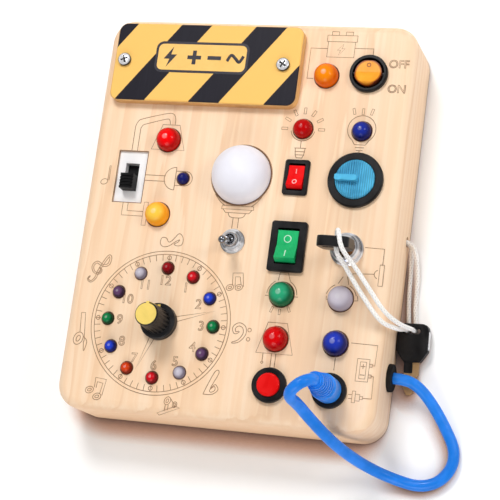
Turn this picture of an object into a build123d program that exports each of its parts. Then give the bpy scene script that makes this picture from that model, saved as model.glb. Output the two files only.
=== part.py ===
"""Wooden busy board: a milled wooden box with lamps, switches, a key lock and a plug on a cable.

The board lies on its back. Origin: centre of the back face. X runs across the board, Y runs up the
board and Z comes out of its face. All sizes are millimetres.
"""

from build123d import *
import math
import os

# ---------------------------------------------------------------- board and back panel
board_width = 135.0
board_length = 170.0
board_thickness = 30.0
board_corner_radius = 10.0
face_edge_radius = 4.4
back_edge_chamfer = 0.6
side_wall = 8.0
face_wall = 6.0
cavity_corner_radius = 6.0
panel_thickness = 3.0
panel_lap = 5.0  # how far the panel lies on the side walls
panel_corner_radius = 8.0
panel_clearance = 0.2

back_screw_diameter = 2.2
back_screw_head = 4.4
back_screw_length = 10.0
back_screw_inset = 2.5  # from the cavity wall to the screw axis
back_screw_end_inset = 3.0  # of the outer screws from the cavity's end walls

# ---------------------------------------------------------------- clearances
snug = 0.1  # between a piece and the hole that it sits in
running = 0.05  # between a turning pin and its bore
free_gap = 0.3  # between pieces that move past each other

# ---------------------------------------------------------------- battery bay under the cover plate
cover_width = 82.6
cover_height = 34.8
cover_thickness = 4.4
cover_corner_radius = 4.0
cover_edge_radius = 0.6
cover_screw_spacing = 70.6
cover_screw_shift = (-1.2, 0.5)  # of the pair of screws from the plate's centre
cover_screw_diameter = 3.0
cover_screw_head = 5.6
cover_screw_head_height = 1.8
cover_screw_head_round = 1.1
cover_screw_length = 15.0

cell_diameter = 10.5
cell_length = 43.7
cell_nub_diameter = 3.8
cell_nub_length = 0.8
cell_play = 0.3
contact_gap = 2.4  # from a cell's end to the wall of the tray
contact_plate = 0.5
contact_size = 8.0
contact_coil_diameter = 5.4
tray_wall = 1.5
tray_rim = 2.6
tray_rim_thickness = 1.5
tray_cell_room = 1.0  # above the cells, under the plate

# ---------------------------------------------------------------- round lamps
led_flange_lip = 0.6
led_flange_thickness = 1.0
led_hole_play = 0.15
led_large = 10.0
led_middle = 8.0
led_small = 5.0
led_large_rise = 6.2  # height of the tip above the face
led_middle_rise = 4.6
led_small_rise = 2.8

clock_led_circle = 46.0
clock_leds = {
    "clock_leds_red": (12, 1, 6),
    "clock_led_orange": (7,),
    "clock_leds_blue": (2, 8),
    "clock_leds_green": (3, 9),
    "clock_leds_purple": (4, 10),
    "clock_leds_clear": (5, 11),
}

# ---------------------------------------------------------------- frosted dome
dome_diameter = 25.0
dome_wall = 1.5
dome_flange_lip = 1.5
dome_flange_thickness = 1.0
dome_led_diameter = 5.0
dome_led_height = 8.6
dome_board_thickness = 1.6

# ---------------------------------------------------------------- rocker switches
rocker_pin_diameter = 2.0
rocker_pin_length = 0.8
rocker_gap = 0.25  # beside the rocker, in its housing
rocker_swing_room = 0.75  # before and behind the rocker
rocker_bezel_corner = 1.2
rocker_bezel_chamfer = 0.4
rocker_pocket_corner = 0.5
rocker_belly_share = 0.32  # of the rocker's length that it reaches below its pins
terminal_width = 4.8
terminal_thickness = 0.8
terminal_length = 5.0

power_bezel_diameter = 16.0
power_bezel_height = 2.0
power_body_diameter = 14.4
power_disc_diameter = 11.4
power_depth = 14.0
power_rim_share = 0.45  # of the bezel's rim that its rounding takes
power_swing_room = 0.95  # round the disc, wider than a straight rocker needs
power_tilt = 10.0

red_bezel = (10.5, 15.0)
red_bezel_height = 1.4
red_body = (8.6, 13.2)
red_rocker_size = (6.6, 10.0)
red_depth = 13.0
red_tilt = 12.0

green_bezel = (15.0, 21.0)
green_bezel_height = 2.0
green_body = (13.0, 19.2)
green_rocker_size = (8.6, 13.6)
green_depth = 15.0
green_tilt = 11.0

# ---------------------------------------------------------------- blue rotary switch
rotary_bezel_diameter = 23.0
rotary_bezel_height = 2.0
rotary_edge_chamfer = 0.5
rotary_body_diameter = 20.0
rotary_depth = 16.0
rotary_knob_diameter = 16.5
rotary_knob_rise = 2.6
rotary_knob_seat = 3.5  # how far the knob reaches below the face
rotary_handle_thickness = 2.7
rotary_handle_height = 2.4
rotary_handle_past_center = 1.6
rotary_handle_end_gap = 0.2  # from the handle's end to the knob's rim
rotary_handle_taper = 4.0
rotary_shaft_diameter = 4.0
rotary_shaft_length = 7.0
knob_rib_pitch = 1.1
knob_rib_width = 0.55
knob_rib_height = 0.35
knob_rib_rim = 1.0  # the smooth rim outside the ribs
knob_ribs_past_center = 2

# ---------------------------------------------------------------- slide switch
slide_opening = (13.0, 22.6)
slide_plate_sink = 1.0
slide_plate_thickness = 1.6
slide_slot = (6.1, 12.1)
slide_handle_size = (5.8, 6.4)
slide_handle_rise = 4.0
slide_handle_groove = 0.5
slide_handle_grooves = 4
slide_body = (11.0, 20.0)
slide_body_depth = 8.0
slide_foot = (8.4, 9.4)
slide_foot_thickness = 1.5
slide_travel = 5.6

# ---------------------------------------------------------------- toggle switch
toggle_body = (8.0, 13.0)
toggle_body_depth = 9.0
toggle_bush_diameter = 6.0
toggle_bush_rise = 4.6
toggle_bush_chamfer = 0.3
toggle_terminal_width = 1.6
toggle_washer_diameter = 10.4
toggle_washer_thickness = 0.6
toggle_nut_flats = 8.0
toggle_nut_thickness = 2.0
toggle_ball_diameter = 4.2
toggle_ball_sink = 1.5  # of the ball's centre below the bush's end
toggle_tip_rise = 15.6  # of the lever's tip above the face when it stands upright
toggle_root_diameter = 2.0
toggle_tip_diameter = 3.2
toggle_tilt = 14.0

# ---------------------------------------------------------------- key lock and keys
lock_flange_diameter = 13.8
lock_flange_thickness = 1.6
lock_flange_chamfer = 0.5
panel_thread_diameter = 12.0
lock_nose_rise = 5.0
lock_nose_chamfer = 0.6
lock_depth = 15.0
lock_rotor_diameter = 8.6
lock_rotor_step = 0.4  # of the rotor's face behind the barrel's face
lock_floor = 1.5

key_head_width = 13.0
key_head_length = 15.8
key_head_thickness = 4.3
key_in_lock = 7.6  # how far the key reaches below the rotor's face
key_lean = 6.5  # the key droops by this angle in its wide keyway
key_shoulder_width = 6.8
key_shoulder_length = 4.4
key_neck_width = 3.6
key_neck_length = 4.5
key_neck_thickness = 3.2
key_neck_shift = -1.3
key_blade_width = 6.0
key_blade_thickness = 1.8
key_blade_length = 13.4
key_tang_length = 6.0
key_slot = (7.0, 2.3)
key_slot_shift = -0.6
key_bar = 2.0
key_corner_radius = 2.4
key_end_radius = 3.0
key_cut_size = 1.4
key_cut_shares = (0.45, 0.62, 0.79)  # of the blade's length, from the head
key_point_share = 0.5  # of the blade's half width at its tip
key_trim_thickness = 0.9
key_trim_proud = 0.2
key_trim_length = 7.4
key_trim_width = 2.8
key_trim_end_gap = 0.8  # from the head's shoulder to the trim
spare_key_center = (74.4, -42.2)
spare_key_yaw = 1.5
spare_key_pitch = 6.5
spare_key_lift = 2.6

# ---------------------------------------------------------------- push button
button_bezel_diameter = 14.3
button_bezel_height = 2.0
bezel_round = 0.6
button_depth = 16.0
button_cap_diameter = 9.5
button_cap_rise = 3.2
button_cap_length = 6.0
button_cap_round = 0.7
button_stem_diameter = 3.0
button_travel = 1.8
spring_wire = 0.5
spring_diameter = 5.2
spring_turns = 5
spring_floor = 2.0

# ---------------------------------------------------------------- twelve-way selector
selector_body_diameter = 26.0
selector_body_depth = 12.0
selector_terminal_inset = 1.5
selector_terminal_width = 1.8
selector_bush_diameter = 7.0
selector_bush_rise = 2.4
selector_nut_flats = 9.0
selector_nut_thickness = 1.8
selector_shaft_diameter = 4.0
knob_skirt_diameter = 15.0
knob_skirt_height = 3.4
knob_neck_diameter = 11.2
knob_top_diameter = 9.8
knob_height = 17.0
knob_top_edge = 0.6
knob_skirt_edge = 0.5
knob_shaft_room = 2.0  # from the shaft's end to the cap
knob_floor_gap = 0.4
knob_hollow_diameter = 10.8
knob_hollow_height = 2.6
knob_flutes = 20
knob_flute_diameter = 1.1
knob_flute_shift = 0.25  # of the flutes' circle outside the knob's mean side
cap_diameter = 8.8
cap_thickness = 1.2
pointer_width = 1.2
pointer_proud = 0.3
pointer_root_inset = 0.6  # inside the cap's rim
pointer_foot_inset = 0.8  # inside the skirt's rim

# ---------------------------------------------------------------- socket, plug and cable
socket_bezel_diameter = 14.2
socket_bezel_height = 2.0
socket_depth = 16.0
socket_bore_diameter = 7.0
socket_pin_diameter = 2.0
socket_floor = 2.0
plug_barrel_diameter = 5.5
plug_barrel_bore = 2.5
plug_barrel_length = 10.0
boot_diameter = 10.8
boot_grip_length = 10.0
boot_grip_round = 1.2
boot_rings = 6
boot_ring_pitch = 2.0
boot_ring_height = 1.25
boot_first_ring = 9.6
boot_last_ring = 7.2
boot_core_diameter = 5.9
boot_gap = 0.1
panel_nut_flats = 14.0
panel_nut_thickness = 2.4

cable_diameter = 4.7
grommet_from_end = 26.55  # along the right-hand side, from the board's lower end
grommet_height = 10.3
grommet_flange_diameter = 11.4
grommet_flange_thickness = 2.0
grommet_sleeve_diameter = 8.0
cable_entry = 2.3  # how far the cable is seen to enter the grommet

string_diameter = 1.9
string_hole_center = (-0.7, 6.0)  # Y and Z on the right-hand side
string_hole_diameter = 4.4
string_entry = 2.5
strand_share = 0.55  # of the string's diameter, from the hole's middle to each strand
cord_floor_gap = 0.05

# ---------------------------------------------------------------- clearances between the face's rows and the walls
column_room = 0.7  # between the widest switch body and the side wall
bottom_room = 1.1  # between the lowest panel nuts and the end wall
tray_room = 0.55  # between the battery tray and the end wall
clock_room = 3.8  # between the clock's lowest lamp and the end wall

# ---------------------------------------------------------------- levels worked out from the sizes
face_z = board_thickness
wall_z = face_z - face_wall  # back of the face wall
side_x = board_width / 2
low_y = -board_length / 2
cavity_size = (board_width - 2 * side_wall, board_length - 2 * side_wall)
panel_size = (cavity_size[0] + 2 * panel_lap, cavity_size[1] + 2 * panel_lap)
bottom = (Align.CENTER, Align.CENTER, Align.MIN)
top = (Align.CENTER, Align.CENTER, Align.MAX)

tray_inner = (
    cell_length + cell_nub_length + 2 * contact_gap,
    2 * cell_diameter + 3 * cell_play,
)
tray_outer = (tray_inner[0] + 2 * tray_wall, tray_inner[1] + 2 * tray_wall)
tray_rim_size = (tray_outer[0] + 2 * tray_rim, tray_outer[1] + 2 * tray_rim)
tray_depth = cell_diameter + 2 * cell_play + tray_wall + tray_cell_room
cell_axis_z = face_z - tray_depth + tray_wall + cell_diameter / 2
cell_axis_y = (cell_diameter + cell_play) / 2

back_screws_at = [
    (
        side * (cavity_size[0] / 2 + back_screw_inset),
        row * (cavity_size[1] / 2 - back_screw_end_inset),
    )
    for side in (-1, 1)
    for row in (-1, 0, 1)
]

# ---------------------------------------------------------------- places on the face
outer_column = side_x - side_wall - rotary_body_diameter / 2 - column_room
bottom_row = low_y + side_wall + panel_nut_flats / 2 + bottom_room
top_row = board_length / 2 - side_wall - tray_outer[1] / 2 - tray_room


def place(across, up):
    """A place on the face, as shares of the way out to the outer column and up to the top row."""
    return (across * outer_column, bottom_row + up * (top_row - bottom_row))


power_center = place(1, 0.994)
rotary_center = place(1, 0.651)
lock_center = place(1, 0.4327)
socket_center = place(1, 0)
red_center = place(0.488, 0.650)
green_center = place(0.494, 0.429)
button_center = place(0.494, 0)
dome_center = place(0.004, 0.6485)
toggle_center = place(0.006, 0.4357)
slide_center = place(-1, 0.6253)
clock_center = (
    place(-0.5307, 0)[0],
    low_y + side_wall + clock_led_circle / 2 + led_small / 2 + led_flange_lip + clock_room,
)

# the cover plate, a lamp and the power switch lie side by side and share what room is left
row_room = side_x + outer_column - power_bezel_diameter / 2 - cover_width - led_large
cover_center = (cover_width / 2 + 0.325 * row_room - side_x, top_row)
orange_center = (
    cover_center[0] + cover_width / 2 + 0.366 * row_room + led_large / 2,
    place(0, 0.983)[1],
)
board_leds = {
    "led_orange": [(led_large, orange_center)],
    "leds_red": [
        (led_large, place(-0.695, 0.7513)),
        (led_large, place(0.494, 0.1422)),
        (led_middle, place(0.489, 0.8077)),
    ],
    "leds_blue": [
        (led_large, place(1.002, 0.1434)),
        (led_middle, place(1, 0.8085)),
        (led_small, place(-0.5145, 0.6275)),
    ],
    "led_amber": [(led_large, place(-0.695, 0.5064))],
    "led_green": [(led_large, place(0.494, 0.28))],
    "led_clear": [(led_large, place(0.998, 0.28))],
}

cover_top = face_z + cover_thickness
cover_screws_at = [
    (
        cover_center[0] + cover_screw_shift[0] + side * cover_screw_spacing / 2,
        cover_center[1] + cover_screw_shift[1],
    )
    for side in (-1, 1)
]
tray_center = (cover_center[0] + cover_screw_shift[0], cover_center[1])
grommet_center = (low_y + grommet_from_end, grommet_height)

clock_led_at = {
    hour: (
        clock_center[0] + clock_led_circle / 2 * math.sin(math.radians(30 * hour)),
        clock_center[1] + clock_led_circle / 2 * math.cos(math.radians(30 * hour)),
    )
    for hour in range(1, 13)
}

os.makedirs("parts", exist_ok=True)


def save(part, name):
    """Label a finished piece and write its STEP file."""
    part.label = name
    export_step(part, f"parts/{name}.step")


def at(center, z):
    """The point above a centre on the face, at height z."""
    return (center[0], center[1], z)


# ================================================================ wooden body
with BuildPart() as wood_body:
    with BuildSketch():
        RectangleRounded(board_width, board_length, board_corner_radius)
    extrude(amount=board_thickness)
    fillet(wood_body.faces().sort_by(Axis.Z)[-1].edges(), face_edge_radius)
    chamfer(wood_body.faces().sort_by(Axis.Z)[0].edges(), back_edge_chamfer)

    # cavity behind the face wall, and the rebate that takes the back panel
    with BuildSketch():
        RectangleRounded(*cavity_size, cavity_corner_radius)
    extrude(amount=wall_z, mode=Mode.SUBTRACT)
    with BuildSketch():
        RectangleRounded(
            panel_size[0] + 2 * panel_clearance,
            panel_size[1] + 2 * panel_clearance,
            panel_corner_radius + panel_clearance,
        )
    extrude(amount=panel_thickness, mode=Mode.SUBTRACT)

    # openings through the face
    with BuildSketch(Plane.XY.offset(face_z)):
        for lamps in board_leds.values():
            for diameter, place in lamps:
                with Locations(place):
                    Circle(diameter / 2 + led_hole_play)
        with Locations(*clock_led_at.values()):
            Circle(led_small / 2 + led_hole_play)
        with Locations(dome_center):
            Circle(dome_diameter / 2 + snug)
        with Locations(power_center):
            Circle(power_body_diameter / 2 + snug)
        with Locations(red_center):
            Rectangle(red_body[0] + 2 * snug, red_body[1] + 2 * snug)
        with Locations(green_center):
            Rectangle(green_body[0] + 2 * snug, green_body[1] + 2 * snug)
        with Locations(rotary_center):
            Circle(rotary_body_diameter / 2 + snug)
        with Locations(slide_center):
            Rectangle(*slide_opening)
        with Locations(toggle_center):
            Circle(toggle_bush_diameter / 2 + snug)
        with Locations(lock_center, button_center, socket_center):
            Circle(panel_thread_diameter / 2 + snug)
        with Locations(clock_center):
            Circle(selector_bush_diameter / 2 + snug)
        with Locations(tray_center):
            Rectangle(tray_outer[0] + 2 * snug, tray_outer[1] + 2 * snug)
    extrude(amount=-face_wall, mode=Mode.SUBTRACT)

    # rebate for the rim of the battery tray
    with BuildSketch(Plane.XY.offset(face_z)):
        with Locations(tray_center):
            Rectangle(tray_rim_size[0] + 2 * snug, tray_rim_size[1] + 2 * snug)
    extrude(amount=-tray_rim_thickness, mode=Mode.SUBTRACT)

    # pilot holes of the screws, and the two holes in the right-hand side
    with Locations(*[at(place, face_z) for place in cover_screws_at]):
        Cylinder(
            cover_screw_diameter / 2,
            cover_screw_length - cover_thickness,
            align=top,
            mode=Mode.SUBTRACT,
        )
    with Locations(*[at(place, 0) for place in back_screws_at]):
        Cylinder(
            back_screw_diameter / 2, back_screw_length, align=bottom, mode=Mode.SUBTRACT
        )
    for diameter, (y, z) in (
        (grommet_sleeve_diameter + 2 * snug, grommet_center),
        (string_hole_diameter, string_hole_center),
    ):
        with Locations((side_x, y, z)):
            Cylinder(
                diameter / 2,
                side_wall,
                rotation=(0, -90, 0),
                align=bottom,
                mode=Mode.SUBTRACT,
            )
save(wood_body.part, "wood_body")

# ================================================================ back panel and its screws
with BuildPart() as back_panel:
    with BuildSketch():
        RectangleRounded(*panel_size, panel_corner_radius)
    extrude(amount=panel_thickness)
    with Locations(*[at(place, 0) for place in back_screws_at]):
        Cylinder(
            back_screw_diameter / 2 + snug,
            panel_thickness,
            align=bottom,
            mode=Mode.SUBTRACT,
        )
        Cone(
            back_screw_head / 2,
            back_screw_diameter / 2,
            (back_screw_head - back_screw_diameter) / 2,
            align=bottom,
            mode=Mode.SUBTRACT,
        )
save(back_panel.part, "back_panel")

with BuildPart() as back_screws:
    with Locations(*[at(place, 0) for place in back_screws_at]):
        Cone(
            back_screw_head / 2,
            back_screw_diameter / 2,
            (back_screw_head - back_screw_diameter) / 2,
            align=bottom,
        )
        Cylinder(back_screw_diameter / 2, back_screw_length, align=bottom)
save(back_screws.part, "back_screws")

# ================================================================ cover plate, screws and battery bay
with BuildPart() as cover_plate:
    with BuildSketch(Plane.XY.offset(face_z)):
        with Locations(cover_center):
            RectangleRounded(cover_width, cover_height, cover_corner_radius)
        with Locations(*cover_screws_at):
            Circle(cover_screw_diameter / 2 + snug, mode=Mode.SUBTRACT)
    extrude(amount=cover_thickness)
    top_face = cover_plate.faces().sort_by(Axis.Z)[-1]
    chamfer(top_face.outer_wire().edges(), cover_edge_radius)
save(cover_plate.part, "cover_plate")

shank = cover_screw_diameter / 2
head = cover_screw_head / 2
with BuildPart() as screw_blank:
    with BuildSketch(Plane.XZ) as screw_outline:
        Polygon(
            (0, cover_screw_head_height),
            (0, -cover_screw_length),
            (shank, shank - cover_screw_length),
            (shank, 0),
            (head, 0),
            (head, cover_screw_head_height),
            align=None,
        )
        head_corner = screw_outline.vertices().sort_by(Axis.X).group_by(Axis.X)[-1].sort_by(Axis.Z)[-1]
        fillet(head_corner, cover_screw_head_round)
    revolve(axis=Axis.Z)
with BuildPart() as cover_screws:
    with Locations(*[at(place, cover_top) for place in cover_screws_at]):
        add(screw_blank.part)
save(cover_screws.part, "cover_screws")

with BuildPart() as battery_tray:
    with BuildSketch(Plane.XY.offset(face_z)):
        with Locations(tray_center):
            Rectangle(*tray_rim_size)
    extrude(amount=-tray_rim_thickness)
    with BuildSketch(Plane.XY.offset(face_z)):
        with Locations(tray_center):
            Rectangle(*tray_outer)
    extrude(amount=-tray_depth)
    with BuildSketch(Plane.XY.offset(face_z)):
        with Locations(tray_center):
            Rectangle(*tray_inner)
    extrude(amount=-(tray_depth - tray_wall), mode=Mode.SUBTRACT)
save(battery_tray.part, "battery_tray")

cell_start = tray_center[0] - tray_inner[0] / 2 + contact_gap
with BuildPart() as battery_cells:
    for side in (-1, 1):
        with Locations((cell_start, tray_center[1] + side * cell_axis_y, cell_axis_z)):
            Cylinder(cell_diameter / 2, cell_length, rotation=(0, 90, 0), align=bottom)
        with Locations(
            (cell_start + cell_length, tray_center[1] + side * cell_axis_y, cell_axis_z)
        ):
            Cylinder(
                cell_nub_diameter / 2, cell_nub_length, rotation=(0, 90, 0), align=bottom
            )
save(battery_cells.part, "battery_cells")

with BuildPart() as battery_contacts:
    for end in (-1, 1):
        for side in (-1, 1):
            wall_x = tray_center[0] + end * tray_inner[0] / 2
            cell_y = tray_center[1] + side * cell_axis_y
            with Locations((wall_x - end * contact_plate / 2, cell_y, cell_axis_z)):
                Box(contact_plate, contact_size, contact_size)
            with Locations((wall_x - end * contact_plate, cell_y, cell_axis_z)):
                Cone(
                    contact_coil_diameter / 2,
                    cell_nub_diameter / 2,
                    contact_gap - contact_plate,
                    rotation=(0, -90 * end, 0),
                    align=bottom,
                )
save(battery_contacts.part, "battery_contacts")


# ================================================================ round lamps
def led_blank(diameter, rise):
    """One lamp at the origin: flange against the wall, body through the hole, round tip."""
    radius = diameter / 2
    shoulder = face_wall + rise - radius
    with BuildPart() as blank:
        with BuildSketch(Plane.XZ):
            with BuildLine():
                Polyline(
                    (0, shoulder + radius),
                    (0, -led_flange_thickness),
                    (radius + led_flange_lip, -led_flange_thickness),
                    (radius + led_flange_lip, 0),
                    (radius, 0),
                    (radius, shoulder),
                )
                CenterArc((0, shoulder), radius, 0, 90)
            make_face()
        revolve(axis=Axis.Z)
    return blank.part


led_by_diameter = {
    led_large: led_blank(led_large, led_large_rise),
    led_middle: led_blank(led_middle, led_middle_rise),
    led_small: led_blank(led_small, led_small_rise),
}
for name, lamps in board_leds.items():
    with BuildPart() as leds:
        for diameter, place in lamps:
            with Locations(at(place, wall_z)):
                add(led_by_diameter[diameter])
    save(leds.part, name)
for name, hours in clock_leds.items():
    with BuildPart() as leds:
        with Locations(*[at(clock_led_at[hour], wall_z) for hour in hours]):
            add(led_by_diameter[led_small])
    save(leds.part, name)

# ================================================================ frosted dome and its lamp
dome_radius = dome_diameter / 2
with BuildPart() as lamp_dome:
    with Locations(at(dome_center, face_z)):
        Sphere(dome_radius, arc_size1=0, align=bottom)
    with Locations(at(dome_center, wall_z - dome_flange_thickness)):
        Cylinder(dome_radius, face_wall + dome_flange_thickness, align=bottom)
        Cylinder(dome_radius + dome_flange_lip, dome_flange_thickness, align=bottom)
    with Locations(at(dome_center, face_z)):
        Sphere(dome_radius - dome_wall, arc_size1=0, align=bottom, mode=Mode.SUBTRACT)
        Cylinder(
            dome_radius - dome_wall,
            face_wall + dome_flange_thickness,
            align=top,
            mode=Mode.SUBTRACT,
        )
save(lamp_dome.part, "lamp_dome")

lamp_board_top = wall_z - dome_flange_thickness
with BuildPart() as lamp_board:
    with Locations(at(dome_center, lamp_board_top)):
        Cylinder(dome_radius + dome_flange_lip, dome_board_thickness, align=top)
save(lamp_board.part, "lamp_board")

dome_led_radius = dome_led_diameter / 2
with BuildPart() as lamp_led:
    with Locations(at(dome_center, lamp_board_top)):
        Cylinder(dome_led_radius + led_flange_lip, led_flange_thickness, align=bottom)
        Cylinder(dome_led_radius, dome_led_height - dome_led_radius, align=bottom)
    with Locations(at(dome_center, lamp_board_top + dome_led_height - dome_led_radius)):
        Sphere(dome_led_radius, arc_size1=0, align=bottom)
save(lamp_led.part, "lamp_led")


# ================================================================ rocker switches
def rocker_housing(center, bezel, body, bezel_height, depth, rocker_size):
    """A rectangular switch housing: bezel on the face, body through it, pocket for the rocker."""
    pocket = (rocker_size[0] + 2 * rocker_gap, rocker_size[1] + 2 * rocker_swing_room)
    with BuildPart() as housing:
        with BuildSketch(Plane.XY.offset(face_z)):
            with Locations(center):
                RectangleRounded(*bezel, rocker_bezel_corner)
        extrude(amount=bezel_height)
        chamfer(housing.faces().sort_by(Axis.Z)[-1].edges(), rocker_bezel_chamfer)
        with BuildSketch(Plane.XY.offset(face_z)):
            with Locations(center):
                Rectangle(*body)
        extrude(amount=-depth)
        with BuildSketch(Plane.XY.offset(face_z + bezel_height)):
            with Locations(center):
                RectangleRounded(*pocket, rocker_pocket_corner)
        extrude(amount=-(bezel_height + rocker_size[1] / 2), mode=Mode.SUBTRACT)
        with Locations(at(center, face_z)):
            Cylinder(
                rocker_pin_diameter / 2 + running,
                rocker_size[0] + 2 * (rocker_pin_length + snug),
                rotation=(0, 90, 0),
                mode=Mode.SUBTRACT,
            )
        with Locations(at(center, face_z - depth)):
            with GridLocations(0, body[1] / 2, 1, 2):
                Box(terminal_width, terminal_thickness, terminal_length, align=top)
    return housing.part


def rocker(center, width, length, rise, tilt, round_plan=False):
    """A rocker on its pins, with its upper end pushed in."""
    half = length / 2
    swing = math.tan(math.radians(tilt)) * length
    belly = rocker_belly_share * length
    with BuildPart() as piece:
        with BuildSketch(Plane.YZ.offset(center[0] - width / 2)):
            with Locations((center[1], face_z)):
                Circle(half)
                Polygon(
                    (-length, -belly),
                    (length, -belly),
                    (length, rise + swing),
                    (0, rise),
                    (-length, rise + swing),
                    rotation=-tilt,
                    align=None,
                    mode=Mode.INTERSECT,
                )
        extrude(amount=width)
        with Locations(at(center, face_z)):
            if round_plan:
                Cylinder(half, 2 * length, mode=Mode.INTERSECT)
            Cylinder(
                rocker_pin_diameter / 2,
                width + 2 * rocker_pin_length,
                rotation=(0, 90, 0),
            )
    return piece.part


save(
    rocker_housing(
        red_center, red_bezel, red_body, red_bezel_height, red_depth, red_rocker_size
    ),
    "red_switch_housing",
)
save(rocker(red_center, *red_rocker_size, red_bezel_height, red_tilt), "red_rocker")
save(
    rocker_housing(
        green_center,
        green_bezel,
        green_body,
        green_bezel_height,
        green_depth,
        green_rocker_size,
    ),
    "green_switch_housing",
)
save(
    rocker(green_center, *green_rocker_size, green_bezel_height, green_tilt),
    "green_rocker",
)

power_pocket_diameter = power_disc_diameter + 2 * power_swing_room
with BuildPart() as power_switch_housing:
    with BuildSketch(Plane.XY.offset(face_z)):
        with Locations(power_center):
            Circle(power_bezel_diameter / 2)
    extrude(amount=power_bezel_height)
    fillet(
        power_switch_housing.faces().sort_by(Axis.Z)[-1].edges(),
        power_rim_share * (power_bezel_diameter - power_pocket_diameter) / 2,
    )
    with Locations(at(power_center, face_z)):
        Cylinder(power_body_diameter / 2, power_depth, align=top)
    with Locations(at(power_center, face_z + power_bezel_height)):
        Cylinder(
            power_pocket_diameter / 2,
            power_bezel_height + power_disc_diameter / 2,
            align=top,
            mode=Mode.SUBTRACT,
        )
    with Locations(at(power_center, face_z)):
        Cylinder(
            rocker_pin_diameter / 2 + running,
            power_pocket_diameter + rocker_pin_length,
            rotation=(0, 90, 0),
            mode=Mode.SUBTRACT,
        )
    with Locations(at(power_center, face_z - power_depth)):
        with GridLocations(0, power_body_diameter / 2, 1, 2):
            Box(terminal_width, terminal_thickness, terminal_length, align=top)
save(power_switch_housing.part, "power_switch_housing")

# the disc's pins reach across the wider gap beside it
with BuildPart() as power_rocker:
    add(
        rocker(
            power_center,
            power_disc_diameter,
            power_disc_diameter,
            power_bezel_height,
            power_tilt,
            round_plan=True,
        )
    )
    with Locations(at(power_center, face_z)):
        Cylinder(
            rocker_pin_diameter / 2,
            power_pocket_diameter + rocker_pin_length - 2 * snug,
            rotation=(0, 90, 0),
        )
save(power_rocker.part, "power_rocker")

# ================================================================ blue rotary switch
rotary_bezel_top = face_z + rotary_bezel_height
with BuildPart() as rotary_housing:
    with Locations(at(rotary_center, face_z)):
        Cylinder(rotary_bezel_diameter / 2, rotary_bezel_height, align=bottom)
    chamfer(rotary_housing.faces().sort_by(Axis.Z)[-1].edges(), rotary_edge_chamfer)
    with Locations(at(rotary_center, face_z)):
        Cylinder(rotary_body_diameter / 2, rotary_depth, align=top)
    with Locations(at(rotary_center, rotary_bezel_top)):
        Cylinder(
            rotary_knob_diameter / 2 + free_gap,
            rotary_bezel_height + rotary_knob_seat + free_gap,
            align=top,
            mode=Mode.SUBTRACT,
        )
    with Locations(at(rotary_center, face_z - rotary_knob_seat)):
        Cylinder(
            rotary_shaft_diameter / 2 + running,
            rotary_shaft_length + free_gap,
            align=top,
            mode=Mode.SUBTRACT,
        )
    with Locations(at(rotary_center, face_z - rotary_depth)):
        with GridLocations(0, rotary_body_diameter / 2, 1, 2):
            Box(terminal_width, terminal_thickness, terminal_length, align=top)
save(rotary_housing.part, "rotary_housing")

# the handle lies along -X, from the rim to just past the centre, and fine ribs fill the segments
# above and below it
knob_radius = rotary_knob_diameter / 2
knob_top = face_z + rotary_knob_rise
rib_rows = int(knob_radius / knob_rib_pitch)
with BuildPart() as rotary_knob:
    with Locations(at(rotary_center, face_z - rotary_knob_seat)):
        Cylinder(knob_radius, rotary_knob_rise + rotary_knob_seat, align=bottom)
        Cylinder(rotary_shaft_diameter / 2, rotary_shaft_length, align=top)
    chamfer(rotary_knob.faces().sort_by(Axis.Z)[-1].edges(), rotary_edge_chamfer)
    with BuildSketch(Plane.XY.offset(knob_top)):
        with Locations(rotary_center):
            for row in range(-rib_rows, knob_ribs_past_center + 1):
                with Locations((row * knob_rib_pitch, 0)):
                    Rectangle(knob_rib_width, rotary_knob_diameter)
            Circle(knob_radius - knob_rib_rim, mode=Mode.INTERSECT)
    extrude(amount=knob_rib_height)
    with BuildSketch(Plane.XY.offset(knob_top)):
        with Locations(rotary_center):
            with Locations(((rotary_handle_past_center - knob_radius) / 2, 0)):
                RectangleRounded(
                    knob_radius + rotary_handle_past_center,
                    rotary_handle_thickness,
                    0.45 * rotary_handle_thickness,
                )
            Circle(knob_radius - rotary_handle_end_gap, mode=Mode.INTERSECT)
    extrude(amount=rotary_handle_height, taper=rotary_handle_taper)
save(rotary_knob.part, "rotary_knob")

# ================================================================ slide switch
slide_plate_z = face_z - slide_plate_sink
slot_low = slide_slot[1] / 2  # from the switch's centre to the slot's ends
handle_rest = -slot_low + snug / 2 + slide_handle_size[1] / 2
slide_channel_top = slide_plate_z - slide_plate_thickness
with BuildPart() as slide_housing:
    with BuildSketch(Plane.XY.offset(slide_plate_z)):
        with Locations(slide_center):
            Rectangle(slide_opening[0] - 2 * snug, slide_opening[1] - 2 * snug)
    extrude(amount=-slide_plate_thickness)
    with BuildSketch(Plane.XY.offset(slide_channel_top)):
        with Locations(slide_center):
            Rectangle(*slide_body)
    extrude(amount=-slide_body_depth)
    with BuildSketch(Plane.XY.offset(slide_plate_z)):
        with Locations(slide_center):
            Rectangle(*slide_slot)
    extrude(amount=-slide_plate_thickness, mode=Mode.SUBTRACT)
    with BuildSketch(Plane.XY.offset(slide_channel_top)):
        with Locations((slide_center[0], slide_center[1] + handle_rest + slide_travel / 2)):
            Rectangle(
                slide_foot[0] + 2 * free_gap,
                slide_foot[1] + slide_travel + 2 * free_gap,
            )
    extrude(amount=-(slide_foot_thickness + 2 * snug), mode=Mode.SUBTRACT)
save(slide_housing.part, "slide_housing")

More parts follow.
